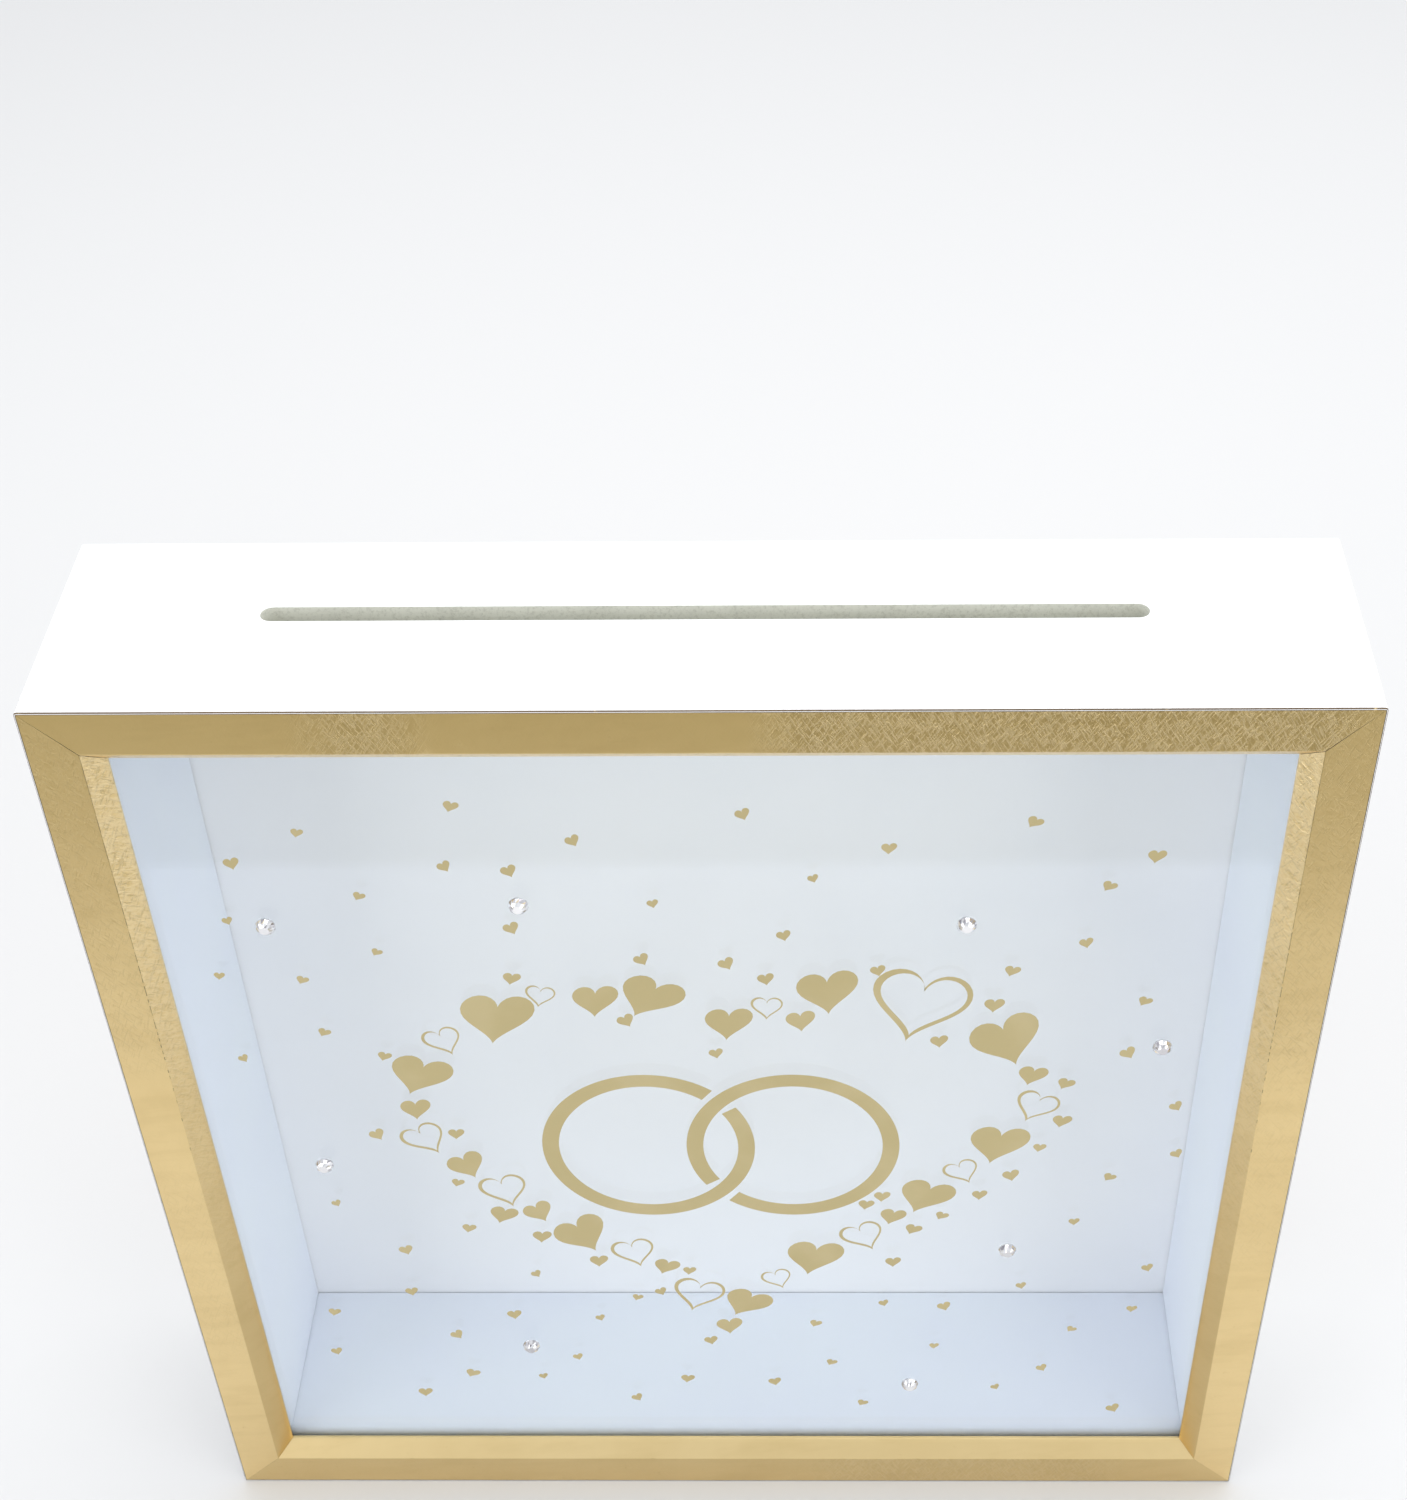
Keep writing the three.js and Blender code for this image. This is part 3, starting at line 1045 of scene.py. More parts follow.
@dataclass
class Case(Assembly):
    """The white case: four mitred boards, the top one slotted.

    Attributes:
        edge: Round-over of the outer edges.
        soft: Ease of the inner edges.
        sharp: Ease of the edges that meet the gold frame.
        slot_length: Card slot, end to end.
        slot_width: Card slot, across.
        lip: Round-over of the slot's edges.
    """

    edge: float = 0.7
    soft: float = 0.25
    sharp: float = 0.08
    slot_length: float = 204.0
    slot_width: float = 5.4
    lip: float = 0.15

    def build(self) -> None:
        """Makes the top board round its slot, and the three plain boards as one section carried along."""
        plan = self.plan
        depths = (plan.case_front, plan.rim)
        coats = [Coat.CASE, Coat.ROUTED]
        sizes = (plan.slot_y, self.slot_length, self.slot_width, self.lip)
        slab = SlottedSlab(plan.width, depths, plan.wall, True, self.edge, self.soft, *sizes)
        rows, painted = slab.surface()
        points = Side.TOP.place(rows, plan.half, plan.centre_z)
        self.ring("case_board_top", points, coats, "white_paint", "case_top", painted=painted)
        section = rounded_section(depths, (0.0, plan.wall), (self.sharp, self.edge, self.soft, self.sharp))
        local = mitred_sweep(section, plan.width, self.edge, (0.0, 0.0), 24)
        for side in (Side.RIGHT, Side.BOTTOM, Side.LEFT):
            points = side.place(local, plan.half, plan.centre_z)
            self.sweep(f"case_board_{side.label}", points, [Coat.CASE], "white_paint", f"case_{side.label}")


class Paint(IntEnum):
    """What a face of the moulding is finished with, as its place in the piece's list of finishes."""

    CASE = 0
    FACE = 1
    SLOPE = 2
    EDGE = 3
    JOINT = 4
    RIDGE = 5


@dataclass
class GoldFrame(Assembly):
    """The gold mitred frame: a flat face, a slope down to the glass, and white painted outer edges.

    Attributes:
        face: Width of the flat face.
        slope: Width of the slope.
        lip: Upright edge at the glass.
        ridge: Radius where the face turns into the slope.
        edge: Round-over of the outer edge.
        corner: Round-over of the box's four corners.
        stations: Loops along the straight stretch of a side.
        joints: Half the gap at each side's mitres, in the order of its points; the lower two are tight.
        worn_above: Height above the box's middle over which the ridge is worn.
        wave: How much the hand-rubbed surface wanders.
        dents: The ridge's dents: place along a side, drift of the place from side to side, and size.
        brushed_and_shaded: Stretches with brush marks on each side, which also darken the leaf: start, stop
            and strength. On the bottom face the darkening is painted shade.
        soft_end: How far a stretch takes to reach its strength.
        faint: Strength of the brush marks elsewhere.
    """

    face: float = 12.0
    slope: float = 4.4
    lip: float = 0.8
    ridge: float = 0.5
    edge: float = 0.35
    corner: float = 0.7
    stations: int = 240
    joints: dict[Side, tuple[float, float]] = field(
        default_factory=lambda: {
            Side.TOP: (0.13, 0.13),
            Side.RIGHT: (0.13, 0.03),
            Side.BOTTOM: (0.03, 0.03),
            Side.LEFT: (0.03, 0.13),
        }
    )
    worn_above: float = 45.0
    wave: float = 0.035
    dents: tuple[Triple, ...] = ((-61.0, 0.1, 0.9), (38.0, -0.2, 0.7), (97.0, 0.0, 0.6))
    brushed_and_shaded: dict[Side, list[Triple]] = field(
        default_factory=lambda: {
            Side.TOP: [(10.0, 152.0, 0.95), (-92.0, -58.0, 0.75)],
            Side.RIGHT: [(-160.0, -30.0, 0.4), (-60.0, 50.0, 0.2)],
            # Painted shade, with brush marks: this stretch darkens part of the bottom face.
            Side.BOTTOM: [(-120.0, -20.0, 0.35)],
            Side.LEFT: [(30.0, 160.0, 0.4), (-90.0, 0.0, 0.2)],
        }
    )
    soft_end: float = 14.0
    faint: float = 0.06

    def _section(self) -> tuple[np.ndarray, np.ndarray]:
        """Draws the moulding's section: straight stretches, joined by arcs at the outer edge and the ridge.

        Returns:
            Points (depth behind the face, distance inwards), and the paint of the stretch after each point.
        """
        thick = self.plan.case_front - self.plan.front
        inner = self.face + self.slope
        fall = thick - self.lip
        lean = math.atan2(fall, self.slope)
        side = joined(self.edge * 1.4, np.zeros(1))
        outer_arc = self.edge + polar(self.edge, math.pi + np.linspace(0.0, QUARTER, 5))
        tangent = self.ridge * math.tan(lean / 2)
        turn = np.linspace(0.0, lean, 5)
        ridge_arc = joined(self.ridge * (1 - np.cos(turn)), self.face - tangent + self.ridge * np.sin(turn))
        face = joined(0.0, np.linspace(self.edge * 1.5, self.face - tangent - 0.3, 8))
        share = np.linspace(0.12, 0.96, 5)[:, None]
        slope = ridge_arc[-1] + share * (np.array([fall, inner]) - ridge_arc[-1])
        lip = np.array([[fall + 0.12, inner], [thick, inner]])
        back = np.array([[thick, inner / 2], [thick, 0.0], [thick / 2, 0.0]])
        section = np.vstack([side, outer_arc, face, ridge_arc, slope, lip, back])
        turned = len(side) + len(outer_arc)
        sloped = turned + len(face) + 2
        paint = np.full(len(section), Paint.CASE, dtype=int)
        paint[len(side) + 1 : turned] = Paint.EDGE
        paint[turned:sloped] = Paint.FACE
        paint[sloped : len(section) - len(back)] = Paint.SLOPE
        return section, paint

    def _worn(self, local: np.ndarray, side: Side) -> np.ndarray:
        """Lets the front wander a little, by sines of different lengths added together, and dents the ridge.

        Args:
            local: Points (along, depth, height below the outer face).
            side: Sets where the sines begin.

        Returns:
            The same points, pushed rearwards by a few hundredths.
        """
        along, depth, below = np.moveaxis(local, -1, 0)
        start = side.value * 0.37
        wander = np.sin(along * 0.11 + start) + 0.6 * np.sin(along * 0.31 + below * 0.9 + 2 * start)
        dents = np.zeros_like(along)
        for place, drift, size in self.dents:
            away = ((along - place - drift * start) / size) ** 2 + ((below - self.face) / 0.7) ** 2
            dents += np.exp(-away)
        pushed = self.wave * (1.6 + wander) * 0.3 + 0.16 * dents
        return joined(along, depth + (depth < 1.2) * pushed, below)

    def _wear_ridge(self, paint: np.ndarray, local: np.ndarray, side: Side) -> np.ndarray:
        """Rubs the leaf thin along the ridge of the upright sides.

        The worn line is whole in their upper part. Two sines multiplied together break it off lower down.

        Args:
            paint: The section's paint.
            local: Points (along, depth, height below the outer face).
            side: The moulding's side.

        Returns:
            The paint of each face, one row for each station but the last.
        """
        painted = np.tile(paint, (len(local) - 1, 1))
        height = side.place(local, self.plan.half, 0.0)[:-1, :, 2]
        below = local[:-1, :, 2]
        on_ridge = (below > self.face - 0.15) & (below < self.face)
        broken = self.worn_above + 45.0 * np.sin(height * 1.9) * np.sin(height * 0.83 + 1.0)
        painted[on_ridge & (height > broken) & side.upright] = Paint.RIDGE
        return painted

    def _work_and_shade(self, local: np.ndarray, side: Side) -> np.ndarray:
        """Works out how strongly each place is marked or creased, which on the slopes also sets their painted
        shade.

        The face has stretches with soft ends, added together. On the slope, the strength grows with height,
        so its painted shade is darkest at the bottom.

        Args:
            local: Points (along, depth, height below the outer face).
            side: The moulding's side.

        Returns:
            The strength at each point.
        """
        along, below = local[..., 0], local[..., 2]
        face = np.full(along.shape, self.faint)
        for start, stop, share in self.brushed_and_shaded[side]:
            begun = np.clip((along - start) / self.soft_end, 0.0, 1.0)
            face += share * begun * np.clip((stop - along) / self.soft_end, 0.0, 1.0)
        height = side.place(local, self.plan.half, 0.0)[..., 2] / self.plan.half
        # Painted shade on the slopes: the lower the place, the darker the leaf.
        slope = np.clip((height + 0.45) / 1.1, 0.0, 1.0)
        return np.where(below > self.face, slope, face)

    def build(self) -> None:
        """Makes the four mouldings."""
        plan = self.plan
        section, paint = self._section()
        for side in Side:
            local = mitred_sweep(section, plan.width, self.corner, self.joints[side], self.stations)
            local = self._worn(local, side)
            points = side.place(local, plan.half, plan.centre_z) + [0.0, plan.front, 0.0]
            painted = np.append(self._wear_ridge(paint, local, side), [Paint.JOINT, Paint.JOINT])
            # The bottom face takes leaf with painted shade; the other sides' slopes take leaf whose painted
            # shade grows towards the bottom.
            face = {Side.TOP: Coat.LEAF, Side.BOTTOM: Coat.LOW_LEAF}.get(side, Coat.CREASED_LEAF)
            slope = Coat.LEAF if side is Side.BOTTOM else Coat.SLOPE_LEAF
            coats = [Coat.CASE, face, slope, Coat.EDGE_LEAF, Coat.JOINT, Coat.RIDGE_LEAF]
            name, node = f"gold_moulding_{side.label}", f"frame_{side.label}"
            piece = self.sweep(name, points, coats, "gold_leaf", node, painted=painted, crease=24.0)
            layer = piece.data.attributes.new(WORK_AND_SHADE, "FLOAT", "POINT")
            layer.data.foreach_set("value", self._work_and_shade(local, side).astype(np.float32).ravel())


@dataclass
class Liner(Assembly):
    """The inner boards: they press the pane forwards, carry the back panel and are the walls seen inside.

    Attributes:
        ease: Ease of the edges.
        front_round: Round-over of the inner edge that lies behind the pane.
        slot_length: The slot in the top liner, end to end.
        slot_width: The same, across.
        stations: Loops along a plain board, its two eased ends apart.
    """

    ease: float = 0.3
    front_round: float = 2.2
    slot_length: float = 205.0
    slot_width: float = 6.4
    stations: int = 18

    def build(self) -> None:
        """Makes the top board round its slot, and the three plain boards."""
        low, high = node_box("liner_top")
        length, _, thickness = high - low
        sizes = (self.plan.slot_y, self.slot_length, self.slot_width, self.ease)
        slab = SlottedSlab(length, (low[1], high[1]), thickness, False, self.ease, self.ease, *sizes)
        rows, painted = slab.surface()
        points = Side.TOP.place(rows, high[2] - self.plan.centre_z, self.plan.centre_z)
        coats = [Coat.LINER, Coat.ROUTED]
        self.ring("liner_board_top", points, coats, "liner_paint", "liner_top", painted=painted)
        for side in (Side.RIGHT, Side.BOTTOM, Side.LEFT):
            self._plain(side)

    def _plain(self, side: Side) -> None:
        """Makes a plain board: a rounded section carried straight along, closed by eased ends.

        Args:
            side: Where it stands.
        """
        low, high = node_box(f"liner_{side.label}")
        axis, across = (2, 0) if side.upright else (0, 2)
        radii = [self.ease] * 4
        radii[0 if side is Side.RIGHT else 3] = self.front_round
        section = rounded_section((low[1], high[1]), (low[across], high[across]), radii)
        ends = self.ease * np.array([0.0, 0.3, 1.0])
        insets = self.ease * np.array([0.7, 0.15, 0.0])
        straight = np.linspace(low[axis], high[axis], self.stations + 2)[1:-1]
        run = np.concatenate([low[axis] + ends, straight, high[axis] - ends[::-1]])
        inset = np.concatenate([insets, np.zeros(self.stations), insets[::-1]])
        size = np.array([high[1] - low[1], high[across] - low[across]])
        middle = section.mean(axis=0)
        loops = middle + (section - middle) * (1 - 2 * inset[:, None] / size)[:, None, :]
        points = np.zeros((len(run), len(section), 3))
        points[..., 1] = loops[..., 0]
        points[..., across] = loops[..., 1]
        points[..., axis] = run[:, None]
        self.sweep(f"liner_board_{side.label}", points, [Coat.LINER], "liner_paint", f"liner_{side.label}")


# ---------------------------------------------------------------------------------------------------
# Glass and back panel
# ---------------------------------------------------------------------------------------------------


@dataclass
class Pane(Assembly):
    """The glass pane, with ground edges.

    Attributes:
        arris: Width of the ground edge.
    """

    arris: float = 0.3

    def build(self) -> None:
        """Makes the pane: rectangles that shrink by the arris at both faces, closed by flat faces."""
        low, high = node_box("glass_pane")
        depth = np.array([low[1], low[1] + self.arris, high[1] - self.arris, high[1]])[:, None]
        inset = np.array([self.arris, 0.0, 0.0, self.arris])[:, None]
        left, right = low[0] + inset, high[0] - inset
        foot, head = low[2] + inset, high[2] - inset
        points = joined(np.hstack([left, right, right, left]), depth, np.hstack([foot, foot, head, head]))
        self.sweep("glass_sheet", points, [Coat.GLASS], "clear_glass", "glass_pane", crease=10.0)


@dataclass
class BackPanel(Assembly):
    """The lift-out panel: white inside, bare board behind, with a half-moon finger notch.

    Attributes:
        notch: Radius of the notch.
        ease: Ease of its edges.
        height_steps: Points up each column of a face.
        notch_steps: Columns within the notch.
        side_steps: Columns at each side of it.
    """

    notch: float = 18.0
    ease: float = 0.35
    height_steps: int = 24
    notch_steps: int = 41
    side_steps: int = 20

    def _face(self, depth: float, inset: float) -> np.ndarray:
        """One face as a grid of columns: each runs from the lower edge up to the upper edge or the notch.

        In the notch, the upper edge is the panel's height less the half circle's depth at that place.
        Columns there are spaced by the cosine, which gathers them at the notch's steep ends.

        Args:
            depth: Where it lies.
            inset: How far the whole outline is drawn in.

        Returns:
            Points, columns by rows.
        """
        low, high = node_box("back_panel")
        radius = self.notch + inset
        bow = radius * np.cos(np.linspace(math.pi, 0.0, self.notch_steps))
        left = np.linspace(low[0] + inset, -radius, self.side_steps + 1)[:-1]
        x = np.concatenate([left, bow, -left[::-1]])
        dip = np.sqrt(np.maximum(radius**2 - x**2, 0.0))
        top = high[2] - np.maximum(dip, inset)
        share = np.linspace(0.0, 1.0, self.height_steps)[:, None]
        return joined(x, depth, (low[2] + inset) * (1 - share) + top * share)

    def build(self) -> None:
        """Makes the panel: two face grids joined by rings round their edges."""
        low, high = node_box("back_panel")[:, 1]
        layers = [(low, self.ease), (low + self.ease, 0.0), (high - self.ease, 0.0), (high, self.ease)]
        front, *middle, rear = (self._face(depth, inset) for depth, inset in layers)
        rows, cols, _ = front.shape
        count = rows * cols
        rim = self._rim_index(rows, cols)
        turn = np.arange(len(rim))
        rims = [layer.reshape(-1, 3)[rim] for layer in middle]
        points = np.vstack([front.reshape(-1, 3), rear.reshape(-1, 3), *rims])
        rings = [rim, 2 * count + turn, 2 * count + len(rim) + turn, count + rim]
        edges = [joined(a, np.roll(a, -1), np.roll(b, -1), b) for a, b in zip(rings, rings[1:])]
        quads = grid_faces(rows, cols, wrap_cols=False)
        blocks = [quads[:, ::-1], quads + count, np.vstack(edges)]
        painted = np.concatenate([np.zeros(len(quads)), np.ones(len(quads) + 3 * len(rim))])
        coats = [Coat.FACING, Coat.BOARD]
        dressed = {"body": "panel", "painted": painted, "crease": 30.0}
        self.piece("panel_board", points, blocks, coats, "panel_board", "back_panel", **dressed)

    @staticmethod
    def _rim_index(rows: int, cols: int) -> np.ndarray:
        """Finds a grid's outer points, once round: bottom, right, top and left.

        Args:
            rows: Number of rows.
            cols: Number of columns.

        Returns:
            Their numbers.
        """
        right = np.arange(1, rows) * cols + cols - 1
        top = (rows - 1) * cols + np.arange(cols - 2, -1, -1)
        left = np.arange(rows - 2, 0, -1) * cols
        return np.concatenate([np.arange(cols), right, top, left])


# ---------------------------------------------------------------------------------------------------
# Print on the glass
# ---------------------------------------------------------------------------------------------------


def heart_outline(count: int, waves: Sequence[float] = (13.0, 5.0, 2.0, 1.0)) -> np.ndarray:
    """A heart one unit wide, point down: x is the cube of a sine, z one cosine less three of shorter waves.

    Args:
        count: Points round it.
        waves: Size of each cosine; the second sets how deep the notch is.

    Returns:
        Points (x, z), once round, centred on the widest part.
    """
    t = np.linspace(0.0, 2 * math.pi, count, endpoint=False)
    z = 1.1 * (np.array([1.0, -1.0, -1.0, -1.0]) * waves) @ np.cos(np.arange(1, 5)[:, None] * t)
    return joined(16 * np.sin(t) ** 3, z) / 32.0


@dataclass(frozen=True)
class Marks:
    """Places of a set of printed shapes, as arrays of the same length.

    Attributes:
        x: Across the glass from its middle.
        z: Height above the table.
        size: Width.
        tilt: Lean, in radians.
    """

    x: np.ndarray
    z: np.ndarray
    size: np.ndarray
    tilt: np.ndarray

    def only(self, keep: np.ndarray) -> Marks:
        """Those that are kept."""
        return Marks(self.x[keep], self.z[keep], self.size[keep], self.tilt[keep])


@dataclass
class Print(Assembly):
    """Gold ink on the glass: a heart-shaped wreath of hearts, two linked rings, and strewn hearts.

    Attributes:
        thick: Thickness of the ink.
        off: Gap between the ink and the glass.
        wreath_width: Width of the wreath.
        wreath_z: Height of its middle.
        wreath_waves: Waves of its outline, which make its notch shallow.
        leading: Widths of the wreath's leading hearts, which run through both halves.
        largest: Width of its largest heart.
        fillers: How many places are tried for small hearts in the wreath.
        clearance: Least gap between two of its hearts.
        ring_radius: Outer radius of the linked rings.
        ring_band: Their width.
        ring_apart: Distance between their centres.
        ring_gap: How far a ring stops short of the one that passes over it, in degrees.
        strewn: How many places are tried for strewn hearts.
        strides: Share of the field from one strewn heart to the next, across and up.
        seed: Starts the random numbers.
    """

    thick: float = 0.05
    off: float = 0.02
    wreath_width: float = 160.0
    wreath_z: float = 153.0
    wreath_waves: tuple[float, ...] = (11.8, 3.3, 1.1, 0.55)
    leading: tuple[float, ...] = (
        *(12.0, 8.0, 15.5, 10.0, 18.5, 7.5, 11.5, 15.5),
        *(9.5, 14.5, 7.0, 12.0, 15.5, 8.5, 13.0, 10.5),
    )
    largest: float = 25.0
    fillers: int = 170
    clearance: float = 1.0
    ring_radius: float = 28.0
    ring_band: float = 4.4
    ring_apart: float = 38.0
    ring_gap: float = 9.0
    strewn: int = 105
    strides: tuple[float, float] = (0.7548776662, 0.5698402910)
    seed: int = 11

    def build(self) -> None:
        """Prints everything. A filled heart is closed by faces; an outlined one is a band round a hole."""
        filled, outlined = self._wreath()
        small = self._strewn(filled, outlined)
        plain = heart_outline(40)
        heart = plain * [1.0, 0.95] + plain[:, ::-1] * [0.08, 0.06]
        outer = heart_outline(56)
        inner = outer * [0.87, 0.86] + [0.012, 0.006]
        solid = [(heart, 0.0), (heart, 1.0)]
        band = [(outer, 0.0), (outer, 1.0), (inner, 1.0), (inner, 0.0)]
        self._lay("print_wreath_hearts", solid, filled, capped=True)
        self._lay("print_wreath_outlines", band, outlined, capped=False)
        self._lay("print_strewn_hearts", solid, small, capped=True)
        self._print_rings()

    def _wreath(self) -> tuple[Marks, Marks]:
        """Sets hearts in a band along a large heart.

        The leading ones stand side by side along it, in a sequence of sizes that each half of the wreath runs
        through from another start. Middling and small ones are tried at random places within the band.

        Returns:
            The filled hearts and the outlined ones.
        """
        path = heart_outline(720, self.wreath_waves) * self.wreath_width
        closed = np.vstack([path, path[:1]])
        walked = np.append(0.0, np.cumsum(np.linalg.norm(np.diff(closed, axis=0), axis=1)))
        rng = np.random.default_rng(self.seed)
        lead = np.concatenate([self.leading, np.roll(self.leading, 7)])
        lead[3] = self.largest
        spaces = lead + self.clearance
        places = (np.cumsum(spaces) - spaces / 2) / spaces.sum()
        share = np.concatenate([places, rng.uniform(0.0, 1.0, self.fillers)]) * walked[-1]
        middling = np.arange(self.fillers) < self.fillers // 5
        size = np.concatenate([lead, np.where(middling, 7.5, rng.uniform(3.4, 5.4, self.fillers))])
        number = np.arange(len(size))
        leads = number < len(lead)
        off = rng.uniform(-1.0, 1.0, len(size)) * np.where(leads, 2.5, 11.0)
        x = np.interp(share, walked, closed[:, 0])
        z = np.interp(share, walked, closed[:, 1]) + self.wreath_z
        away = joined(x, z - self.wreath_z - 8.0)
        away /= np.linalg.norm(away, axis=1, keepdims=True)
        tilt = rng.uniform(-0.5, 0.5, len(size))
        marks = Marks(x + away[:, 0] * off, z + away[:, 1] * off, size, tilt)
        keep = self._clear_of_others(marks)
        outlined = (number % 5 % 2 == 1) & leads | (size > 20.0)
        return marks.only(keep & ~outlined), marks.only(keep & outlined)

    def _clear_of_others(self, marks: Marks) -> np.ndarray:
        """Takes hearts in order and leaves out each one that comes too near one already taken.

        Args:
            marks: The hearts.

        Returns:
            Whether each heart is taken.
        """
        taken = np.zeros(len(marks.x), dtype=bool)
        for i, (x, z, size) in enumerate(zip(marks.x, marks.z, marks.size)):
            away = np.hypot(marks.x - x, marks.z - z) - (marks.size + size) * 0.47
            taken[i] = not np.any(away[taken] < self.clearance)
        return taken

    def _strewn(self, *keep_clear: Marks) -> Marks:
        """Spreads small hearts evenly by two irrational strides, but not in the wreath or near a stone.

        Args:
            keep_clear: Hearts already printed.

        Returns:
            The small hearts.
        """
        sight, middle = self.plan.half - 30.0, self.plan.centre_z
        number = np.arange(self.strewn)
        rng = np.random.default_rng(self.seed + 1)
        across, up = (((0.5 + number * stride) % 1.0 * 2 - 1) * sight for stride in self.strides)
        x = across + rng.uniform(-4.0, 4.0, self.strewn)
        z = up + middle
        size = rng.uniform(2.7, 4.4, self.strewn)
        tilt = rng.uniform(-0.6, 0.6, self.strewn)
        stones = np.array([node_box(f"gem_{i}").mean(axis=0)[[0, 2]] for i in range(1, 9)])
        busy = np.vstack([*(joined(m.x, m.z) for m in keep_clear), stones])
        room = np.concatenate([*(m.size / 2 for m in keep_clear), np.full(len(stones), 3.0)])
        away = np.hypot(x[:, None] - busy[:, 0], z[:, None] - busy[:, 1]) - room
        lobes = heart_outline(90, self.wreath_waves) * self.wreath_width * 0.92
        lobes += [0.0, self.wreath_z - middle]
        turn = np.arctan2(lobes[:, 1], lobes[:, 0])
        order = np.argsort(turn)
        reach = np.hypot(*lobes.T)[order]
        limit = np.interp(np.arctan2(z - middle, x), turn[order], reach, period=2 * math.pi)
        return Marks(x, z, size, tilt).only((away.min(axis=1) > 4.5) & (np.hypot(x, z - middle) > limit))

    def _on_glass(self, share: np.ndarray) -> np.ndarray:
        """Depths in the ink, of which share 0 is its side at the glass and 1 its front."""
        return node_box("glass_pane")[0][1] - self.off - share * self.thick

    def _lay(self, name: str, loops: Sequence[tuple[np.ndarray, float]], marks: Marks, capped: bool) -> None:
        """Prints one shape at many places.

        Args:
            name: The piece's name.
            loops: The shape one unit wide: loops of points (x, z), and how far each lies into the ink.
            marks: Where it goes, how large and at what tilt.
            capped: Whether faces close the first and last loops; if not, the last loop joins the first.
        """
        shape = np.stack([loop for loop, _ in loops])
        share = np.array([share for _, share in loops])[:, None]
        rows, cols, _ = shape.shape
        place_x, place_z, size, tilt = (a[:, None, None] for a in (marks.x, marks.z, marks.size, marks.tilt))
        x, z = spun(shape[..., 0] * size, shape[..., 1] * size, tilt)
        points = joined(x + place_x, self._on_glass(share), z + place_z)
        shift = np.arange(len(marks.x))[:, None, None] * rows * cols
        blocks = [(grid_faces(rows, cols, wrap_rows=not capped) + shift).reshape(-1, 4)]
        if capped:
            blocks.append((end_caps(rows, cols) + shift).reshape(-1, cols))
        self.piece(name, points.reshape(-1, 3), blocks, [Coat.INK], "gold_leaf")

    def _print_rings(self) -> None:
        """Prints two linked rings: arcs that stop short where the other ring passes over them."""
        outer, inner = self.ring_radius, self.ring_radius - self.ring_band
        half = self.ring_apart / 2
        crossing = math.acos(half / (outer + inner) * 2)
        gap = math.radians(self.ring_gap)
        radius, share = np.array([(inner, 0.0), (outer, 0.0), (outer, 1.0), (inner, 1.0)]).T
        for number, centre, start in ((1, -half, crossing), (2, half, math.pi + crossing)):
            turn = np.linspace(start + gap, start + 2 * math.pi - gap, 90)[:, None]
            x, z = spun(radius, 0.0, turn)
            points = joined(x + centre, self._on_glass(share), z + self.plan.centre_z - 1.0)
            self.sweep(f"print_ring_{number}", points, [Coat.INK], "gold_leaf")


# ---------------------------------------------------------------------------------------------------
# Stones and hardware
# ---------------------------------------------------------------------------------------------------


@dataclass
class Stones(Assembly):
    """Round flat-backed stones with a table and two rows of facets.

    Attributes:
        table: Radius of the table, as a share of the stone's.
        facets: Facets in a row, an even number.
        spin: How far each stone is turned past the one before, in radians.
    """

    table: float = 0.5
    facets: int = 16
    spin: float = 0.7

    def _rings(self, radius: float, high: float) -> np.ndarray:
        """Draws the stone's loops from back to table.

        Every second point of the middle loop stands out and down, and of the table's loop is drawn in to the
        middle of an octagon's side, which makes kite and triangle facets between them.

        Args:
            radius: The stone's radius.
            high: Its height.

        Returns:
            Points (across, height, up), loop by loop.
        """
        even = np.arange(self.facets) % 2 == 0
        octagon = math.cos(math.pi / (self.facets / 2))
        radii = [0.97, 1.0, np.where(even, 0.84, 0.76), self.table * np.where(even, 1.0, octagon)]
        heights = [0.0, 0.22, np.where(even, 0.62, 0.72), 1.0]
        turn = np.arange(self.facets) * 2 * math.pi / self.facets
        loops = [joined(*spun(r * radius, 0.0, turn), h * high) for r, h in zip(radii, heights)]
        return np.stack(loops)[:, :, [0, 2, 1]]

    def build(self) -> None:
        """Makes the eight stones, each turned a little differently and with a painted reflection tone on each
        facet.
        """
        for number in range(1, 9):
            low, high = node_box(f"gem_{number}")
            middle = (low + high) / 2
            rings = self._rings((high[0] - low[0]) / 2, high[1] - low[1])
            x, z = spun(rings[..., 0], rings[..., 2], number * self.spin)
            points = joined(middle[0] + x, high[1] - rings[..., 1], middle[2] + z)
            rows, cols, _ = points.shape
            quads = grid_faces(rows, cols)
            blocks = [np.vstack([quads[:, [0, 1, 2]], quads[:, [0, 2, 3]]]), end_caps(rows, cols)]
            dressed = ([Coat.CRYSTAL], "gem_crystal", f"gem_{number}")
            piece = self.piece(f"stone_{number}", points.reshape(-1, 3), blocks, *dressed, crease=1.0)
            # Painted reflections: each facet gets a random brightness.
            glints = np.random.default_rng(number).beta(1.3, 0.7, len(piece.data.polygons))
            layer = piece.data.attributes.new(FACET_GLINT, "FLOAT", "FACE")
            layer.data.foreach_set("value", glints.astype(np.float32))


